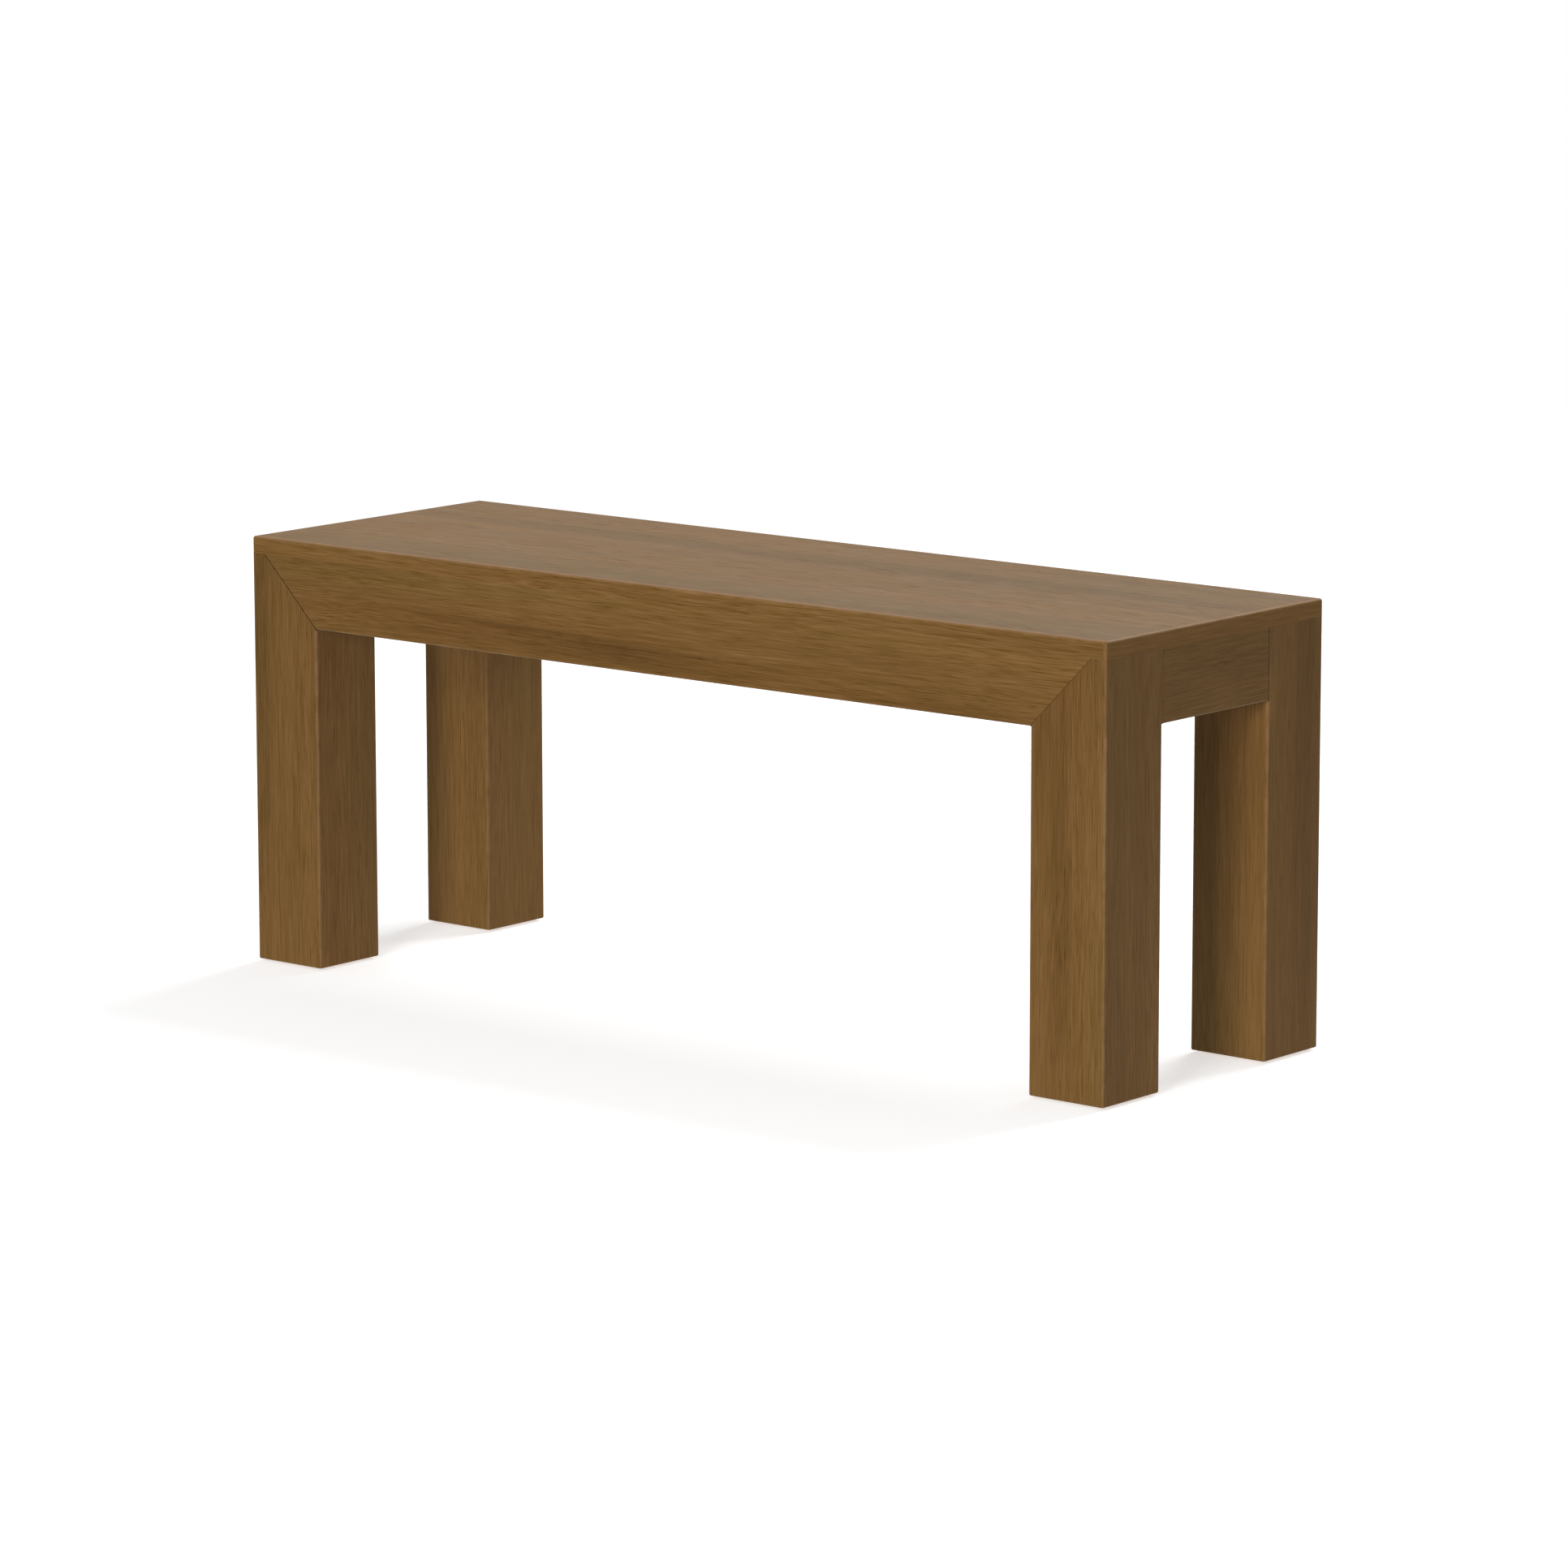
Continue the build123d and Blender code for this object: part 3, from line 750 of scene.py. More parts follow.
GROUPS = {
    "Timber Figure": figure_group,
    "Heart Streak": streak_group,
    "Stain": stain_group,
    "Rubbed Edge": edge_group,
    "Joint Line": joint_group,
    "Skin": film_group,
    "Saw Marks": saw_group,
    "Zinc Plate": plate_group,
}


# Materials

# The varnish's share of the height, and what a rubbed edge takes from the roughness and a joint
# line adds to it
SKIN_HEIGHT = 0.15
WORN_GLOSS = 0.2
SEAM_DULLNESS = 0.2
# Reflection, and the depth of rings, fibres and pores, on stained and on bare wood
STAINED_GLOSS = 0.14
STAINED_DEPTHS = (0.06, 0.33, 0.34)
BARE_GLOSS = 0.25
BARE_DEPTHS = (0.12, 0.08, 0.16)
BARE_ROUGHNESS = 0.72
# Bare wood's pale, middle, deep, red and olive as shares of its colour
BARE_SHARES = (
    (1.12, 1.13, 1.18),
    (1.0, 1.0, 1.0),
    (0.84, 0.80, 0.72),
    (1.0, 0.88, 0.76),
    (0.9, 0.95, 0.95),
)
SCUFF_RATE = (160.0, 900.0, 1.0)
SCUFF_COLOUR = (0.16, 0.13, 0.11, 1.0)


def new_material(name):
    """Makes a node material with a Principled shader, or starts the one of that name afresh so
    that the pieces that have it keep it. Returns it with its shader's node and its object
    coordinates."""
    made = bpy.data.materials.get(name) or bpy.data.materials.new(name)
    made.use_nodes = True
    tree = made.node_tree
    tree.nodes.clear()
    shader = tree.nodes.new("ShaderNodeBsdfPrincipled")
    feed(tree.nodes.new("ShaderNodeOutputMaterial"), {"Surface": Wire(shader.outputs[0])})
    return made, shader, put(tree, "ShaderNodeTexCoord", out="Object")


def dress(shader, inputs, height, distance, strength):
    """Feeds a shader's inputs, and bumps it by a height."""
    bump = {"Height": height, "Distance": distance, "Strength": strength}
    feed(shader, {**inputs, "Normal": put(height.tree, "ShaderNodeBump", bump)})


def opaque(colour):
    """A colour property's three numbers with full alpha."""
    return (*colour, 1.0)


def figure_of(place, node):
    """Turns a piece's grain along X about its middle, and works out the figure there. Returns
    the turned coordinates and the stain's inputs for that figure."""
    cut = CUTS[node]
    grain = bpy.context.scene.bench_grain
    low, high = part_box(node)
    middle = Euler(cut.grain).to_matrix() @ ((low + high) / 2)
    inputs = {"Vector": place, "Location": -middle, "Rotation": cut.grain}
    turned = put(place.tree, "ShaderNodeMapping", inputs)
    figure = place_group(
        "Timber Figure",
        {
            "Vector": turned,
            "Pith": cut.pith,
            "Ring Spacing": grain.ring_spacing,
            "Wander": grain.wander,
            "Band Size": (grain.band_length, grain.band_width, grain.band_width),
            "Fibre Size": (grain.fibre_length, grain.fibre_width, grain.fibre_width),
            "Pore Size": (grain.pore_length, grain.pore_width, grain.pore_width),
        },
    )
    line = figure.pop("Line")
    streak = 0.0
    for spot, reach, depth in cut.streaks:
        spot = Vector(cut.pith) + Vector(spot)
        inputs = {"Line": line, "Place": spot, "Reach": reach, "Depth": depth}
        streak = place_group("Heart Streak", inputs)["Loss"] + streak
    shade = parts(turned)[0] * (cut.shade * cut.slope) + cut.shade
    shape = {"Streak": streak, "Shade": shade, "Contrast": cut.contrast, "Lean": cut.lean}
    return turned, figure | shape


def stain_of(figure, colours, depths, roughness, tint=BROAD_TINT):
    """The stain's colour, roughness and height over a figure, for its five colours and for the
    depths of its rings, fibres and pores."""
    figure |= zip(STAINS, map(opaque, colours))
    figure |= zip(DEPTHS, depths)
    return place_group("Stain", figure | {"Roughness": roughness, "Streak Tint": tint})


def strongest(name, place, width, masks):
    """The strongest of a group's masks at a place, for a list of inputs with a strength each, or
    nothing for an empty list."""
    found = None
    for inputs, strength in masks:
        inputs = {"Vector": place, "Width": width, **inputs}
        mask = place_group(name, inputs)["Mask"] * strength
        found = maths("MAXIMUM", found, mask) if found else mask
    return found


def stained_wood(node, edges, joints):
    """Stained and varnished wood for one piece. Edges are the boxes whose edges get edge wear and a
    painted highlight, and joints are the joint lines, stain with painted shade in them, that cross
    or border the piece, each as a group's inputs and a strength."""
    stain = bpy.context.scene.bench_stain
    grain = bpy.context.scene.bench_grain
    material, shader, place = new_material(f"stained_{node}")
    _, figure = figure_of(place, node)
    fine = CUTS[node].fine
    ring, fibre, pore = STAINED_DEPTHS
    colours = (stain.pale, stain.middle, stain.deep, stain.red, stain.olive)
    tint = SEAT_TINT if node in BOARDS else BROAD_TINT
    finish = stain_of(figure, colours, (ring, fibre * fine, pore * fine), stain.roughness, tint)
    skin = place_group("Skin", {"Vector": place, "Low": -0.012, "High": 0.012})
    colour = finish["Color"]
    rough = finish["Roughness"] + skin["Roughness"]
    height = finish["Height"] + skin["Height"] * SKIN_HEIGHT

    # Edge wear and a painted highlight along the eased edges, mixed into the colour
    wear_and_highlight = strongest("Rubbed Edge", place, grain.edge_width, edges)
    if wear_and_highlight:
        colour = blended(wear_and_highlight, colour, opaque(stain.rubbed_and_highlight))
        rough = rough - wear_and_highlight * WORN_GLOSS
    # Stain and painted shade in the joints, mixed into the colour
    joint_stain_and_shade = strongest("Joint Line", place, grain.joint_width, joints)
    if joint_stain_and_shade:
        colour = blended(joint_stain_and_shade, colour, opaque(stain.joint))
        rough = rough + joint_stain_and_shade * SEAM_DULLNESS
        height = height - joint_stain_and_shade

    inputs = {"Base Color": colour, "Roughness": rough, "Specular IOR Level": STAINED_GLOSS}
    dress(shader, inputs, height, distance=0.12 * MM, strength=0.5)
    return material


def bare_wood(node):
    """Unstained wood with saw marks, for a piece that doesn't show from above."""
    material, shader, place = new_material(f"bare_{node}")
    turned, figure = figure_of(place, node)
    bare = np.array(bpy.context.scene.bench_stain.bare)
    colours = [bare * share for share in BARE_SHARES]
    finish = stain_of(figure, colours, BARE_DEPTHS, BARE_ROUGHNESS)
    mark = place_group("Saw Marks", {"Vector": turned})["Mark"]
    inputs = {
        "Base Color": finish["Color"] * (1.0 - mark * 0.07),
        "Roughness": finish["Roughness"],
        "Specular IOR Level": BARE_GLOSS,
    }
    height = finish["Height"] - mark * 0.6
    dress(shader, inputs, height, distance=0.18 * MM, strength=0.6)
    return material


def plated_steel():
    """Zinc plated steel of the bolts, nuts, washers, screws and nails."""
    material, shader, place = new_material("plated_steel")
    steel = opaque(bpy.context.scene.bench_stain.steel)
    plate = place_group("Zinc Plate", {"Vector": place, "Color": steel})
    inputs = {"Base Color": plate["Color"], "Roughness": plate["Roughness"], "Metallic": 1.0}
    dress(shader, inputs, plate["Height"], distance=0.03 * MM, strength=0.5)
    return material


def glide_plastic():
    """Moulded brown plastic with a fine skin, scuffed pale where it meets the floor."""
    material, shader, place = new_material("moulded_plastic")
    inputs = {"Vector": place, "Patch": 0.006, "Low": 0.42, "High": 0.58, "Peel": 0.0005}
    skin = place_group("Skin", inputs)
    near_floor = eased(parts(place)[2], 0.1 * MM, 0.7 * MM, 1.0, 0.0)
    scuff = near_floor * eased(noise(place * SCUFF_RATE, detail=3.0), 0.45, 0.62)
    mottle = eased(noise(place, scale=240.0), 0.3, 0.7, 0.88, 1.1)
    colour = mottle * tuple(bpy.context.scene.bench_stain.plastic)
    colour = blended(scuff * 0.5, colour, SCUFF_COLOUR)
    inputs = {"Base Color": colour, "Roughness": skin["Roughness"] + scuff * 0.2}
    height = skin["Height"] - scuff
    dress(shader, inputs, height, distance=0.04 * MM, strength=0.4)
    return material


def finish_node(node, material):
    """Gives a carried-over piece its material."""
    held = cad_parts[node].data.materials
    held.clear()
    held.append(material)


# Edges and joints of the stained pieces

# The corners that each rail ends at, and the joint that it has there
RAIL_ENDS = {
    "front_rail": ("front_left", "front_right", "mitre"),
    "rear_rail": ("rear_left", "rear_right", "mitre"),
    "left_rail": ("front_left", "rear_left", "end"),
    "right_rail": ("front_right", "rear_right", "end"),
}
# The seat's edge wear and painted highlight are strongest just behind its front and rear edges,
# where the top of the rounded edge catches the light
BOARD_WEAR_AND_HIGHLIGHT_INSET = Vector((0.0, 2 * MM, 0.0))
# Boxes whose edges get edge wear and a painted highlight, each with its strength
BENCH_EDGES = ({"Low Corner": BENCH_LOW, "High Corner": BENCH_HIGH}, 0.32)
BOARD_EDGES = ({"Low Corner": BENCH_LOW + BOARD_WEAR_AND_HIGHLIGHT_INSET, "High Corner": BENCH_HIGH - BOARD_WEAR_AND_HIGHLIGHT_INSET}, 0.45)
# Strength of the edge wear and painted highlight on the legs' upright edges
LEG_WEAR_AND_HIGHLIGHT_STRENGTH = 0.5


def leg_edges(node):
    """Upright edges of a leg, which are free below the rails."""
    low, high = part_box(node)
    corners = {"Low Corner": (low.x, low.y, -1.0), "High Corner": (high.x, high.y, 1.0)}
    return {**corners, "Up To": RAIL_BOTTOM}, LEG_WEAR_AND_HIGHLIGHT_STRENGTH


def corner_joints(corner):
    """The mitre, the joint under the slab and the end rail's joint at one corner."""
    side, depth = CORNERS[corner]
    mitre, under, end = JOINT_STAIN_AND_SHADE[corner]
    top = Vector((side * (HALF_LENGTH - SLAB_THICKNESS), depth * HALF_DEPTH, SLAB_UNDERSIDE))
    slope = Vector((-side, 0.0, 1.0)).normalized()
    shoulder = Vector((0.0, depth * (HALF_DEPTH - LEG_WIDTH), 0.0))
    return {
        name: ({"Point": point, "Normal": normal, "From Height": RAIL_BOTTOM}, strength)
        for name, point, normal, strength in (
            ("mitre", top, slope, mitre),
            ("under", top, (0.0, 0.0, 1.0), under),
            ("end", shoulder, (0.0, 1.0, 0.0), end),
        )
    }


# Surfaces

SHARP_EDGE = math.radians(35.0)
# A thread's ridge: how steep its sides are, and the share of it that its root cuts off
RIDGE_SLOPE = 1.5
RIDGE_ROOT = 0.4


def mesh_object(name, corners, faces, material):
    """Makes a smooth object from arrays of corners and lists of faces, with sharp edges kept."""
    old = bpy.data.objects.get(name)
    if old:
        bpy.data.objects.remove(old)
    mesh = bpy.data.meshes.new(name)
    mesh.from_pydata(corners.tolist(), [], faces)
    mesh.polygons.foreach_set("use_smooth", np.ones(len(mesh.polygons), dtype=bool))
    mesh.set_sharp_from_angle(angle=SHARP_EDGE)
    mesh.materials.append(material)
    mesh.validate()
    made = bpy.data.objects.new(name, mesh)
    bpy.context.scene.collection.objects.link(made)
    return made


def stacked(rings, closed=False):
    """Faces between rings of points, given as an array of rings, points and axes. Each face
    joins two neighbours of one ring to the same two of the next. Closed also joins the last
    ring to the first."""
    count, sides = rings.shape[:2]
    last = count if closed else count - 1
    ring, side = np.meshgrid(np.arange(last), np.arange(sides), indexing="ij")
    after = (ring + 1) % count
    beside = (side + 1) % sides
    near, far = ring * sides, after * sides
    quads = [near + side, near + beside, far + beside, far + side]
    return np.stack(quads, axis=-1).reshape(-1, 4)


def capped(rings, first, last):
    """A closed skin of rings with a point on the axis at each end, at the levels first and last:
    quads between the rings, and a fan of triangles from each end's point to its ring."""
    count, sides = rings.shape[:2]
    corners = np.vstack([rings.reshape(-1, 3), (0.0, 0.0, first), (0.0, 0.0, last)])
    low, high = count * sides, count * sides + 1
    side = np.arange(sides)
    beside = (side + 1) % sides
    top = (count - 1) * sides
    start_fan = np.stack([np.full(sides, low), beside, side], axis=-1)
    end_fan = np.stack([np.full(sides, high), top + side, top + beside], axis=-1)
    faces = stacked(rings).tolist() + start_fan.tolist() + end_fan.tolist()
    return corners, faces


def looped(rings):
    """A closed skin of rings whose last joins the first, as round a washer."""
    return rings.reshape(-1, 3), stacked(rings, closed=True).tolist()


def ring_angles(sides):
    """Angles evenly round a circle."""
    return np.linspace(0.0, 2 * math.pi, sides, endpoint=False)


def column(values):
    """A list of numbers as one column. An array that has columns keeps them."""
    return np.reshape(values, (len(values), -1))


def turned_rings(radius, level, angle):
    """Points at a radius and level for each ring and angle: radius times the angle's cosine and
    sine, at the level. Radius and level have a value for each ring, or one for each angle of
    each ring."""
    radius, level, angle = np.broadcast_arrays(column(radius), column(level), angle)
    return np.stack([radius * np.cos(angle), radius * np.sin(angle), level], axis=-1)


def thread(level, angle, core, crest, pitch):
    """Radius of a right-hand thread: a ridge from core to crest that climbs one pitch a turn.
    The ridge is highest where the level over the pitch, less the share of the turn, is whole."""
    phase = (level / pitch - angle / (2 * math.pi)) % 1.0
    ridge = np.abs(phase - 0.5) * 2.0
    return core + (crest - core) * np.clip(ridge * RIDGE_SLOPE - RIDGE_ROOT, 0.0, 1.0)


def placed(shape, seats):
    """Copies of a shape, drawn round +Z at the origin, on every seat. A seat is a point and a
    direction for +Z. The copies are turned and never mirrored, so threads stay right-handed."""
    corners, faces = shape
    all_corners, all_faces = [], []
    for number, (point, direction) in enumerate(seats):
        turn = Vector(direction).to_track_quat("Z", "Y").to_matrix()
        all_corners.append(corners @ np.array(turn).T + np.array(point))
        start = number * len(corners)
        all_faces += [[start + corner for corner in face] for face in faces]
    return np.vstack(all_corners), all_faces


def add_piece(name, node, shape, seats, material):
    """Makes copies of a shape on their seats as the piece that stands for a node."""
    made = mesh_object(name, *placed(shape, seats), material)
    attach(made, BODY)
    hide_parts(node)


# Hardware shapes

WASHER_RADIUS = 8 * MM
WASHER_THICKNESS = 1.6 * MM
NUT_FLATS = 13 * MM
NUT_HEIGHT = 6.5 * MM
NUT_CHAMFER = 0.7 * MM
BOLT_LENGTH = 80 * MM
BOLT_BITE = 43 * MM
BOLT_PROUD = 3.9 * MM
BOLT_SPACING = 28 * MM
BOLT_HOLE = 0.1 * MM
SCREW_HEAD_RADIUS = 4 * MM
SCREW_HEAD_HEIGHT = 2.4 * MM
SCREW_HEAD_ROUND = 0.9 * MM
BLOCK_THICKNESS = 20 * MM
BLOCK_SCREW_SEAT = 8 * MM
BLOCK_SCREW_LENGTH = 20 * MM
BLOCK_SCREW_SPACING = 30 * MM
BATTEN_SCREW_LENGTH = 30 * MM
NAIL_RADIUS = 1.2 * MM
NAIL_LENGTH = 17 * MM
NAIL_HEAD_RADIUS = 3.5 * MM
NAIL_HEAD_HEIGHT = 1 * MM
NAIL_HEAD_DROP = 1 * MM
RECESS_FLOOR = 1.3 * MM
FIRST_RING = 0.3 * MM
# Shares of a bolt's or screw's outer radius, and the lengths that their points take to reach it
LAG_CORE = 0.68
NUT_THREAD_CORE = 0.84
BOLT_WAIST = 0.9
BOLT_TIP = 0.12
BOLT_POINT = 7 * MM
BOLT_BLUNT = 0.8 * MM
SCREW_CORE = 0.62
SCREW_WAIST = 0.8
SCREW_TIP = 0.1
SCREW_POINT = 5 * MM
SCREW_PLAIN_SHARE = 0.3
UP = (0.0, 0.0, 1.0)
DOWN = (0.0, 0.0, -1.0)


def hanger_bolt(hardware):
    """A bolt with a wood thread and a point at the start, and a nut thread at the other end. Its
    radius follows two threads along the level, drawn in at the point and at the blunt end."""
    crest = hardware.bolt_radius
    angle = ring_angles(hardware.sides)
    wood_end = BOLT_BITE - 4 * MM
    plain_end = BOLT_BITE + 2 * MM
    wood = np.arange(FIRST_RING, wood_end, hardware.lag_pitch / 6)
    fine = np.arange(plain_end, BOLT_LENGTH, hardware.bolt_pitch / 5)
    level = column([*wood, wood_end, plain_end - FIRST_RING, *fine, BOLT_LENGTH])
    lag = thread(level, angle, crest * LAG_CORE, crest, hardware.lag_pitch)
    nut = thread(level, angle, crest * NUT_THREAD_CORE, crest, hardware.bolt_pitch)
    plain = crest * BOLT_WAIST
    radius = np.where(level < wood_end, lag, np.where(level < plain_end, plain, nut))
    point = crest * (BOLT_TIP + level / BOLT_POINT)
    blunt = crest - np.clip(level - (BOLT_LENGTH - BOLT_BLUNT), 0.0, None)
    radius = np.minimum(np.minimum(radius, point), blunt)
    return capped(turned_rings(radius, level, angle), 0.0, BOLT_LENGTH)


def hex_nut(hardware):
    """A nut: a hexagon whose ends are cut by a 30 degree cone, round a bore. A side of the
    hexagon lies at half the flats over the cosine of the angle from the side's middle."""
    angle = ring_angles(48)
    sector = math.pi / 3
    hexagon = NUT_FLATS / 2 / np.cos((angle + sector / 2) % sector - sector / 2)
    corner = NUT_FLATS / math.sqrt(3)
    low = np.linspace(0.0, NUT_CHAMFER, 5)
    level = column([*low, *(NUT_HEIGHT - low[::-1])])
    inset = NUT_CHAMFER - np.minimum(level, NUT_HEIGHT - level)
    outer = np.minimum(hexagon, corner - np.clip(inset, 0.0, None) * math.sqrt(3))
    bore = hardware.bolt_radius + BOLT_HOLE
    sink = 0.5 * MM
    inner = [bore + sink, bore, bore, bore + sink]
    inner_level = [NUT_HEIGHT, NUT_HEIGHT - sink, sink, 0.0]
    skins = [turned_rings(outer, level, angle), turned_rings(inner, inner_level, angle)]
    return looped(np.concatenate(skins))


def flat_washer(hardware):
    """A stamped washer: a closed outline carried round, sharp below and rolled over above."""
    bore = hardware.bolt_radius + BOLT_HOLE
    rim, top = WASHER_RADIUS, WASHER_THICKNESS
    roll, bend, sharp = 0.4 * MM, 0.12 * MM, 0.1 * MM
    radius = [bore, rim - sharp, rim, rim, rim - bend, rim - roll, bore + roll, bore + bend, bore]
    level = [0.0, 0.0, sharp, top - roll, top - bend, top, top, top - bend, top - roll]
    return looped(turned_rings(radius, level, ring_angles(40)))


def cross_recess(angle, top):
    """Rings of a cross recess in a screw's head, from its rim down to its floor. The rim is a
    circle that swells into four lobes with the fourth power of the cosine of twice the angle."""
    lobes = 0.75 * MM + 1.65 * MM * np.abs(np.cos(2 * angle)) ** 4
    share = column([1.0, 0.93, 0.62, 0.3])
    depth = column([0.0, 0.25 * MM, 1.05 * MM, 1.25 * MM])
    return turned_rings(lobes * share, top - depth, angle)


def screw_shank(hardware, length, angle, head_level):
    """Rings of a pointed wood screw's threaded shank, up to a level under its head."""
    crest = hardware.screw_radius
    level = column(np.arange(FIRST_RING - length, head_level, hardware.screw_pitch / 5))
    ridge = thread(level, angle, crest * SCREW_CORE, crest, hardware.screw_pitch)
    grip = head_level - SCREW_PLAIN_SHARE * (length + head_level)
    radius = np.where(level < grip, ridge, crest * SCREW_WAIST)
    radius = np.minimum(radius, crest * (SCREW_TIP + (level + length) / SCREW_POINT))
    return turned_rings(radius, level, angle)


def pan_screw(hardware):
    """A screw with a rounded head on the origin's level and a cross recess in it."""
    angle = ring_angles(32)
    shank = screw_shank(hardware, BLOCK_SCREW_LENGTH, angle, 0.0)
    bend = np.linspace(0.0, math.pi / 2, 5)
    rim = SCREW_HEAD_RADIUS - SCREW_HEAD_ROUND * (1 - np.cos(bend))
    rise = SCREW_HEAD_HEIGHT - SCREW_HEAD_ROUND * (1 - np.sin(bend))
    neck = hardware.screw_radius * SCREW_WAIST
    radius = [neck, SCREW_HEAD_RADIUS - 0.15 * MM, SCREW_HEAD_RADIUS, *rim]
    level = [0.0, 0.0, 0.15 * MM, *rise]
    rings = [shank, turned_rings(radius, level, angle), cross_recess(angle, SCREW_HEAD_HEIGHT)]
    floor = SCREW_HEAD_HEIGHT - RECESS_FLOOR
    return capped(np.concatenate(rings), -BLOCK_SCREW_LENGTH, floor)


def sunk_screw(hardware):
    """A screw with a countersunk head, flush at the origin's level, and a cross recess in it."""
    angle = ring_angles(32)
    neck = SCREW_HEAD_RADIUS - hardware.screw_radius * SCREW_WAIST
    shank = screw_shank(hardware, BATTEN_SCREW_LENGTH, angle, -neck)
    rim = SCREW_HEAD_RADIUS - 0.15 * MM
    radius = [hardware.screw_radius * SCREW_WAIST, rim, rim, rim - 0.1 * MM]
    level = [-neck, -0.25 * MM, -0.1 * MM, 0.0]
    rings = [shank, turned_rings(radius, level, angle), cross_recess(angle, 0.0)]
    return capped(np.concatenate(rings), -BATTEN_SCREW_LENGTH, -RECESS_FLOOR)


def round_nail():
    """A glide nail: a pointed shank under a low domed head, whose underside is the origin."""
    angle = ring_angles(28)
    bend = np.linspace(0.0, math.radians(80), 6)
    dome = NAIL_HEAD_RADIUS * np.cos(bend)
    edge = 0.35 * MM
    rise = edge + (NAIL_HEAD_HEIGHT - edge) * np.sin(bend) / math.sin(bend[-1])
    radius = [0.15 * MM, NAIL_RADIUS, NAIL_RADIUS, NAIL_HEAD_RADIUS - 0.1 * MM, *dome]
    level = [0.1 * MM - NAIL_LENGTH, 2 * MM - NAIL_LENGTH, 0.0, 0.0, *rise]
    return capped(turned_rings(radius, level, angle), -NAIL_LENGTH, NAIL_HEAD_HEIGHT)


def floor_glide():
    """A moulded glide, face up at its own height: a closed outline of a disc with a domed lower
    face, a rounded rim, a shallow ring and a stepped hole for the nail, carried round."""
    outer = (GLIDE_HIGH.x - GLIDE_LOW.x) / 2
    height = GLIDE_HIGH.z - GLIDE_LOW.z
    hole = NAIL_RADIUS + 0.1 * MM
    seat = NAIL_HEAD_RADIUS + 0.1 * MM
    step = NAIL_HEAD_DROP + NAIL_HEAD_HEIGHT
    bend = np.linspace(0.0, math.pi / 2, 7)
    rim = 1.4 * MM
    radius = [hole, hole, seat, seat, seat + 0.4 * MM, 0.6 * outer, outer - rim]
    level = [height, step, step, 0.35 * MM, 0.12 * MM, 0.0, 0.06 * MM]
    radius += [*(outer - rim + rim * np.sin(bend[1:])), outer, outer - 0.25 * MM]
    level += [*(0.06 * MM + rim * (1 - np.cos(bend[1:]))), height - 0.25 * MM, height]
    return looped(turned_rings(radius, level, ring_angles(64)))


def corner_point(corner, u, v, level):
    """A point u and v inward from a corner of the bench along X and Y, at a level."""
    side, depth = CORNERS[corner]
    return side * (HALF_LENGTH - u), depth * (HALF_DEPTH - v), level


# The corner block's far face crosses both axes at this distance inward from the bench's corner
BLOCK_FAR = BLOCK_HIGH.x - BLOCK_LOW.x + 2 * RAIL_THICKNESS
BLOCK_SCREW_SIDE = BLOCK_FAR - BLOCK_THICKNESS / math.sqrt(2) - RAIL_THICKNESS


def bolt_seats(beyond):
    """Seats on the bolts' lines, a distance beyond the corner blocks' far faces, facing away
    from the legs."""
    reach = BLOCK_FAR / 2 + beyond / math.sqrt(2)
    seats = []
    for corner, (side, depth) in CORNERS.items():
        for rise in (-BOLT_SPACING / 2, BOLT_SPACING / 2):
            point = corner_point(corner, reach, reach, BLOCK_MIDDLE + rise)
            seats.append((point, (-side, -depth, 0.0)))
    return seats


def block_screw_seats():
    """Seats on the floors of the pockets in the corner blocks, facing away from the rails."""
    inward = RAIL_THICKNESS + BLOCK_SCREW_SEAT
    seats = []
    for corner, (side, depth) in CORNERS.items():
        for rise in (-BLOCK_SCREW_SPACING / 2, BLOCK_SCREW_SPACING / 2):
            level = BLOCK_MIDDLE + rise
            along = corner_point(corner, BLOCK_SCREW_SIDE, inward, level)
            across = corner_point(corner, inward, BLOCK_SCREW_SIDE, level)
            seats.append((along, (0.0, -depth, 0.0)))
            seats.append((across, (-side, 0.0, 0.0)))
    return seats


def batten_screw_seats():
    """Seats on the battens' undersides, one under the middle of each board, facing down."""
    seats = []
    across = (BATTEN_LOW.x + BATTEN_HIGH.x) / 2
    for board in BOARDS:
        low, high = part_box(board)
        for side in (-1, 1):
            seats.append(((side * across, (low.y + high.y) / 2, BATTEN_LOW.z), DOWN))
    return seats


# Operators


class BENCH_OT_seat(bpy.types.Operator):
    """Stains the seat's boards and their end lippings"""

    bl_idname = "bench.seat"
    bl_label = "Finish Seat"

    def execute(self, context):
        for node in (*BOARDS, "left_lipping", "right_lipping"):
            # Eased edges get wear and a painted highlight
            edges = BOARD_EDGES if node in BOARDS else BENCH_EDGES
            finish_node(node, stained_wood(node, [edges], []))
        return {"FINISHED"}


class BENCH_OT_rails(bpy.types.Operator):
    """Stains the rails under the seat, with the lines of their joints"""

    bl_idname = "bench.rails"
    bl_label = "Finish Rails"

    def execute(self, context):
        for node, (first, second, joint) in RAIL_ENDS.items():
            # The joint lines are stain and painted shade
            joints = [corner_joints(corner)[joint] for corner in (first, second)]
            finish_node(node, stained_wood(node, [], joints))
        return {"FINISHED"}


class BENCH_OT_legs(bpy.types.Operator):
    """Stains the legs, with wear and a painted highlight along their free edges, and stain and
    painted shade along their joints
    """

    bl_idname = "bench.legs"
    bl_label = "Finish Legs"

    def execute(self, context):
        for corner in CORNERS:
            node = f"{corner}_leg"
            joints = list(corner_joints(corner).values())
            finish_node(node, stained_wood(node, [BENCH_EDGES, leg_edges(node)], joints))
        return {"FINISHED"}


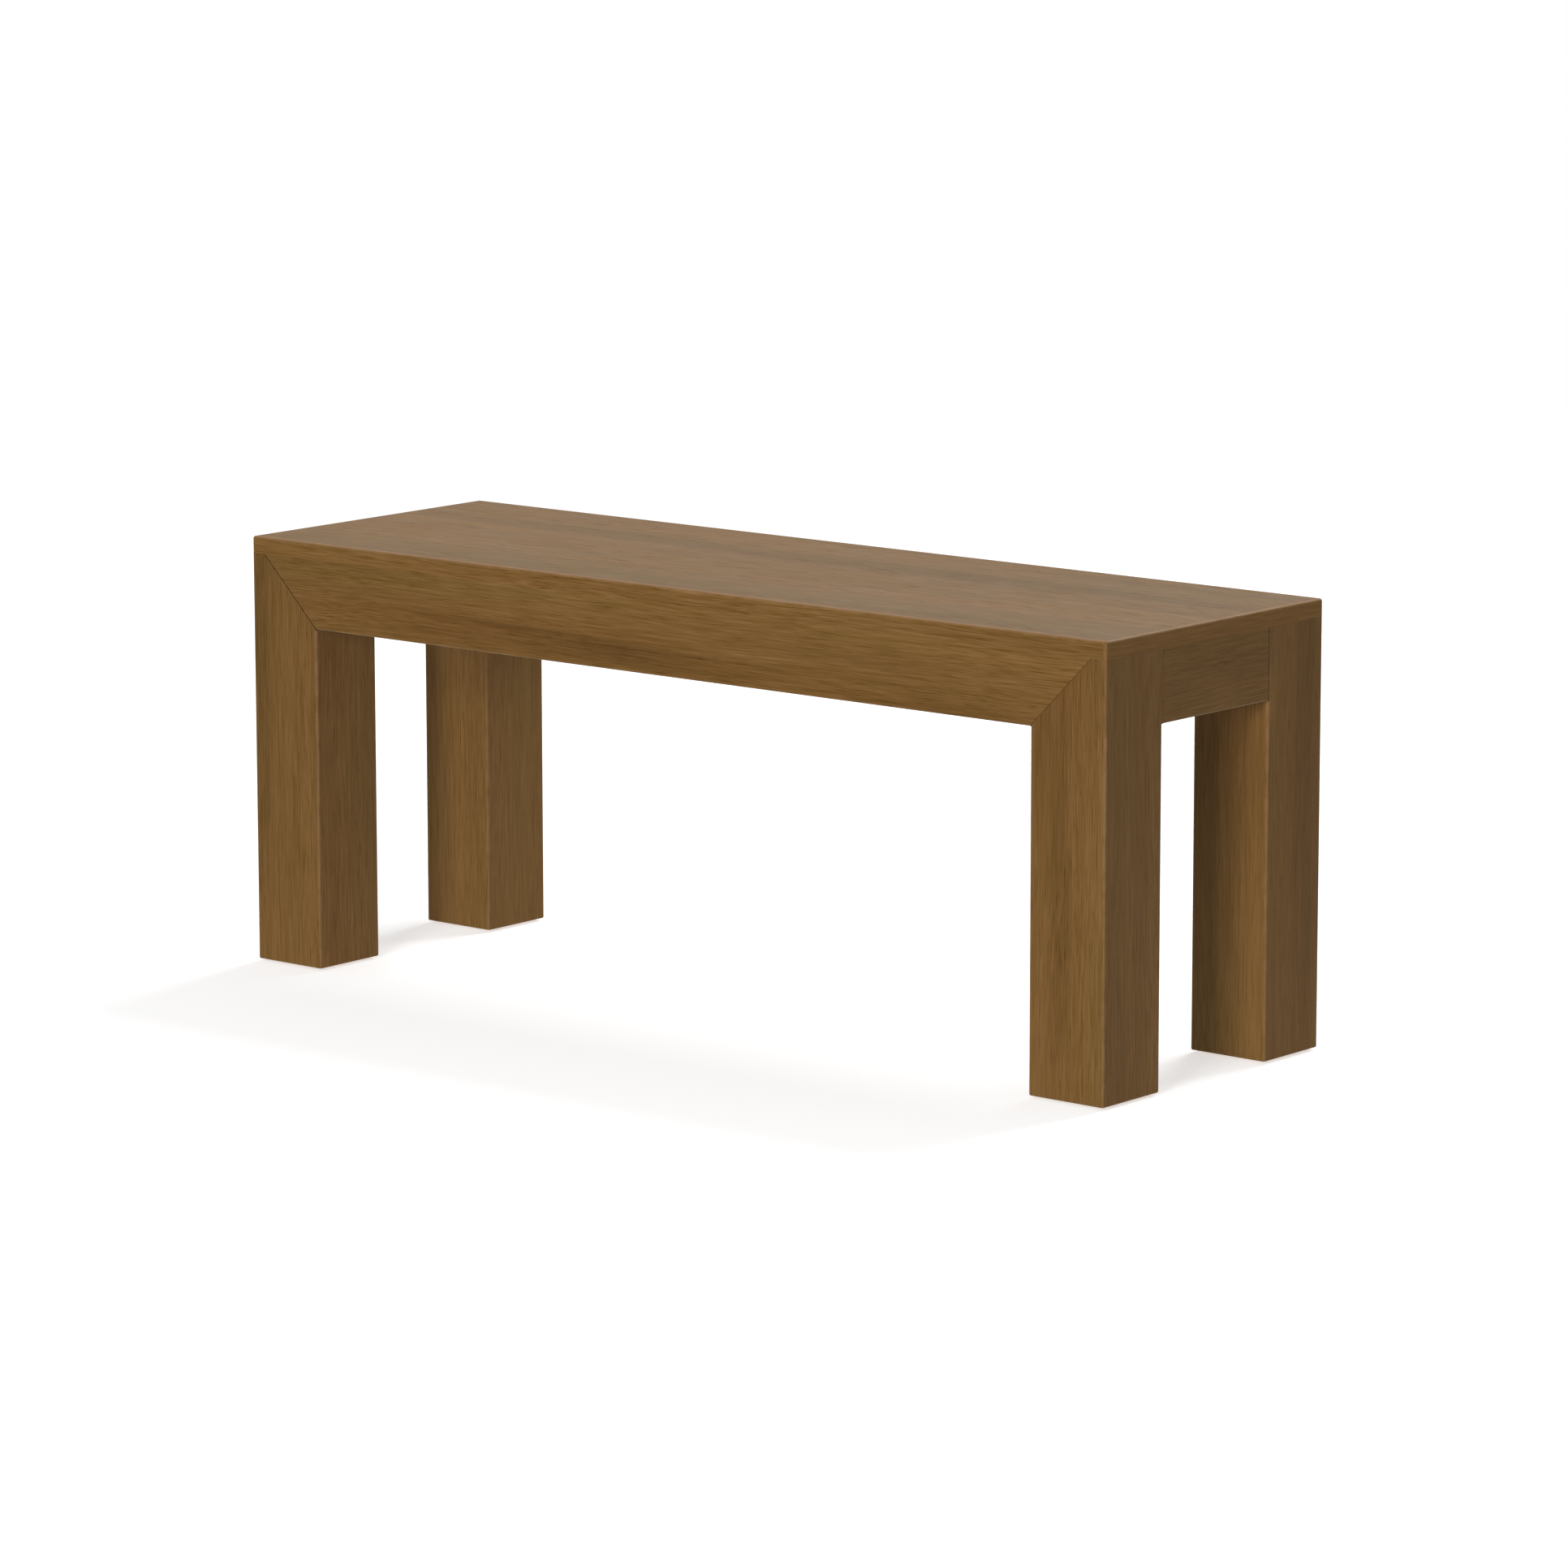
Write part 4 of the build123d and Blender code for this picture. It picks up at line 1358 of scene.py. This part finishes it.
class BENCH_OT_braces(bpy.types.Operator):
    """Gives the corner blocks and the battens their bare sawn wood"""

    bl_idname = "bench.braces"
    bl_label = "Finish Blocks and Battens"

    def execute(self, context):
        for node in (*[f"{corner}_block" for corner in CORNERS], "left_batten", "right_batten"):
            finish_node(node, bare_wood(node))
        return {"FINISHED"}


class BENCH_OT_leg_bolts(bpy.types.Operator):
    """Makes the threaded leg bolts with their washers and nuts"""

    bl_idname = "bench.leg_bolts"
    bl_label = "Make Leg Bolts"

    def execute(self, context):
        hardware = context.scene.bench_hardware
        steel = plated_steel()
        start = WASHER_THICKNESS + NUT_HEIGHT + BOLT_PROUD - BOLT_LENGTH
        for name, node, shape, beyond in (
            ("threaded_leg_bolts", "hanger_bolts", hanger_bolt, start),
            ("stamped_washers", "washers", flat_washer, 0.0),
            ("hex_nuts", "nuts", hex_nut, WASHER_THICKNESS),
        ):
            add_piece(name, node, shape(hardware), bolt_seats(beyond), steel)
        return {"FINISHED"}


class BENCH_OT_screws(bpy.types.Operator):
    """Makes the screws of the corner blocks and battens"""

    bl_idname = "bench.screws"
    bl_label = "Make Screws"

    def execute(self, context):
        hardware = context.scene.bench_hardware
        steel = plated_steel()
        for name, node, shape, seats in (
            ("pan_head_screws", "block_screws", pan_screw, block_screw_seats()),
            ("sunk_head_screws", "batten_screws", sunk_screw, batten_screw_seats()),
        ):
            add_piece(name, node, shape(hardware), seats, steel)
        return {"FINISHED"}


class BENCH_OT_glides(bpy.types.Operator):
    """Makes the floor glides and their nails"""

    bl_idname = "bench.glides"
    bl_label = "Make Glides"

    def execute(self, context):
        plastic, steel = glide_plastic(), plated_steel()
        shape = floor_glide()
        nail_seats = []
        for corner in CORNERS:
            node = f"{corner}_glide"
            low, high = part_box(node)
            middle = (low + high) / 2
            seat = ((middle.x, middle.y, low.z), UP)
            add_piece(f"{corner}_domed_glide", node, shape, [seat], plastic)
            nail_seats.append(((middle.x, middle.y, NAIL_HEAD_DROP + NAIL_HEAD_HEIGHT), DOWN))
        add_piece("domed_glide_nails", "glide_nails", round_nail(), nail_seats, steel)
        return {"FINISHED"}


# Studio

CAMERA_PLACE = Vector((4.36873, -5.24663, 1.46325))
CAMERA_YAW = math.radians(-39.6722)
CAMERA_PITCH = math.radians(10.2331)
CAMERA_ROLL = math.radians(-0.0609)
LAMP_DISTANCE = 6.0
# Each lamp's azimuth and elevation in degrees, and its width and height
LAMPS = {
    "key": (18, 12, (1.6, 2.6)),
    "back": (180, 50, (3.0, 2.5)),
    "left": (-70, -45, (2.2, 2.2)),
    "right": (150, -45, (2.2, 2.2)),
}
FLOOR_REACH = 60.0
# How much light the floor gives off, and where it starts and ends turning plain white
FLOOR_LIFT = 0.58
FLOOR_NEAR = 1.6
FLOOR_FAR = 4.5
# Height on the sky's unit sphere, above and below level, where its light comes up
HORIZON = 0.2


def seen_rays(tree):
    """Whether a ray comes straight from the camera, a reflection or a clear thing, and whether
    it comes straight from the camera."""
    rays = wires(tree.nodes.new("ShaderNodeLightPath"))
    straight = rays["Is Camera Ray"]
    shown = maths("MAXIMUM", straight, rays["Is Glossy Ray"])
    return maths("MAXIMUM", shown, rays["Is Transmission Ray"]), straight


def studio_floor(studio):
    """A level floor: a grid of two parameters, its distances along X and Y. It is seen from
    above only, keeps the bench's shadow near the bench, and turns plain white far off. Soft
    light from below passes through it, as through a white glass table."""
    edge = np.linspace(-FLOOR_REACH, FLOOR_REACH, 3)
    x, y = np.meshgrid(edge, edge)
    corners = np.stack([x, y, np.zeros_like(x)], axis=-1).reshape(-1, 3)
    faces = [[0, 1, 4, 3], [1, 2, 5, 4], [3, 4, 7, 6], [4, 5, 8, 7]]
    material, shader, place = new_material("pale_floor")
    matt = {"Base Color": opaque(studio.floor), "Roughness": 0.9, "Specular IOR Level": 0.1}
    feed(shader, matt)
    tree = place.tree
    shown, straight = seen_rays(tree)
    lift = put(tree, "ShaderNodeEmission", {"Strength": straight * FLOOR_LIFT})
    near = put(tree, "ShaderNodeAddShader", {0: Wire(shader.outputs[0]), 1: lift})
    white = put(tree, "ShaderNodeEmission", {"Strength": 1.0})
    away = eased(length_of(place), FLOOR_NEAR, FLOOR_FAR) * straight
    level = put(tree, "ShaderNodeMixShader", {0: away, 1: near, 2: white})
    solid = shown * (1.0 - put(tree, "ShaderNodeNewGeometry", out="Backfacing"))
    clear = put(tree, "ShaderNodeBsdfTransparent")
    seen = put(tree, "ShaderNodeMixShader", {0: solid, 1: clear, 2: level})
    output = next(node for node in tree.nodes if node.type == "OUTPUT_MATERIAL")
    feed(output, {"Surface": seen})
    mesh_object("studio_floor", corners, faces, material)


def studio_world(studio):
    """Light from all round, which the camera, reflections and clear things see as white."""
    world = bpy.data.worlds.new("studio_world")
    bpy.context.scene.world = world
    world.use_nodes = True
    tree = world.node_tree
    tree.nodes.clear()
    shown, _ = seen_rays(tree)
    height = parts(put(tree, "ShaderNodeTexCoord", out="Generated"))[2]
    soft = eased(height, -HORIZON, HORIZON, 0.0, studio.ambient)
    strength = eased(shown, 0.0, 1.0, soft, 1.0)
    light = put(tree, "ShaderNodeBackground", {"Color": WHITE, "Strength": strength})
    feed(tree.nodes.new("ShaderNodeOutputWorld"), {"Surface": light})


def softbox(name, azimuth, elevation, size, power):
    """A rectangular light that faces the bench's middle. Azimuth is in degrees from straight in
    front, growing to the right, and elevation in degrees above the middle."""
    light = bpy.data.lights.new(name, "AREA")
    light.shape = "RECTANGLE"
    light.size, light.size_y = size
    light.energy = power
    made = bpy.data.objects.new(name, light)
    middle = (BENCH_LOW + BENCH_HIGH) / 2
    turn = Euler((math.radians(-elevation), 0.0, math.radians(azimuth))).to_matrix()
    ahead = turn @ Vector((0.0, -1.0, 0.0))
    made.location = middle + ahead * LAMP_DISTANCE
    made.rotation_euler = (-ahead).to_track_quat("-Z", "Y").to_euler()
    bpy.context.scene.collection.objects.link(made)


def studio_camera(studio):
    """The camera, turned by yaw about the upright, then pitched down and rolled."""
    across, along = math.sin(CAMERA_YAW), math.cos(CAMERA_YAW)
    level = math.cos(CAMERA_PITCH)
    ahead = Vector((across * level, along * level, -math.sin(CAMERA_PITCH)))
    right = Vector((along, -across, 0.0))
    upward = right.cross(ahead)
    roll, upright = math.sin(CAMERA_ROLL), math.cos(CAMERA_ROLL)
    axes = (upright * right + roll * upward, upright * upward - roll * right, -ahead)
    turn = Matrix(axes).transposed().to_4x4()
    lens = bpy.data.cameras.new("studio_camera")
    lens.lens = studio.lens
    lens.sensor_width = 36.0
    lens.clip_start = 0.1
    lens.clip_end = 200.0
    made = bpy.data.objects.new("studio_camera", lens)
    made.matrix_world = Matrix.Translation(CAMERA_PLACE) @ turn
    bpy.context.scene.collection.objects.link(made)
    bpy.context.scene.camera = made


class BENCH_OT_stage(bpy.types.Operator):
    """Sets up the floor, the lights, the world and the camera"""

    bl_idname = "bench.stage"
    bl_label = "Set Up Studio"

    def execute(self, context):
        studio = context.scene.bench_studio
        studio_floor(studio)
        studio_world(studio)
        for name, (azimuth, elevation, size) in LAMPS.items():
            power = getattr(studio, f"{name}_power")
            softbox(f"{name}_light", azimuth, elevation, size, power)
        studio_camera(studio)
        context.scene.view_settings.view_transform = "Standard"
        return {"FINISHED"}


OPERATORS = (
    BENCH_OT_seat,
    BENCH_OT_rails,
    BENCH_OT_legs,
    BENCH_OT_braces,
    BENCH_OT_leg_bolts,
    BENCH_OT_screws,
    BENCH_OT_glides,
    BENCH_OT_stage,
)


class BENCH_PT_finish(bpy.types.Panel):
    """The bench's operators and settings in the sidebar"""

    bl_label = "Backless Bench"
    bl_idname = "BENCH_PT_finish"
    bl_space_type = "VIEW_3D"
    bl_region_type = "UI"
    bl_category = "Bench"

    def draw(self, context):
        layout = self.layout
        for operator in OPERATORS:
            layout.operator(operator.bl_idname)
        for group in SETTINGS:
            box = layout.box()
            held = getattr(context.scene, group)
            for name in held.bl_rna.properties.keys():
                if name not in ("rna_type", "name"):
                    box.prop(held, name)


SETTINGS = {
    "bench_stain": BenchStain,
    "bench_grain": BenchGrain,
    "bench_hardware": BenchHardware,
    "bench_studio": BenchStudio,
}
CLASSES = (*SETTINGS.values(), *OPERATORS, BENCH_PT_finish)


def register():
    """Registers the settings, the operators and the panel."""
    for held in CLASSES:
        bpy.utils.register_class(held)
    for name, group in SETTINGS.items():
        setattr(bpy.types.Scene, name, PointerProperty(type=group))


def unregister():
    """Removes the panel, the operators and the settings."""
    for name in SETTINGS:
        delattr(bpy.types.Scene, name)
    for held in reversed(CLASSES):
        bpy.utils.unregister_class(held)


def main():
    """Builds every piece and the studio."""
    register()
    bpy.ops.bench.seat()
    bpy.ops.bench.rails()
    bpy.ops.bench.legs()
    bpy.ops.bench.braces()
    bpy.ops.bench.leg_bolts()
    bpy.ops.bench.screws()
    bpy.ops.bench.glides()
    bpy.ops.bench.stage()


if __name__ == "__main__":
    main()
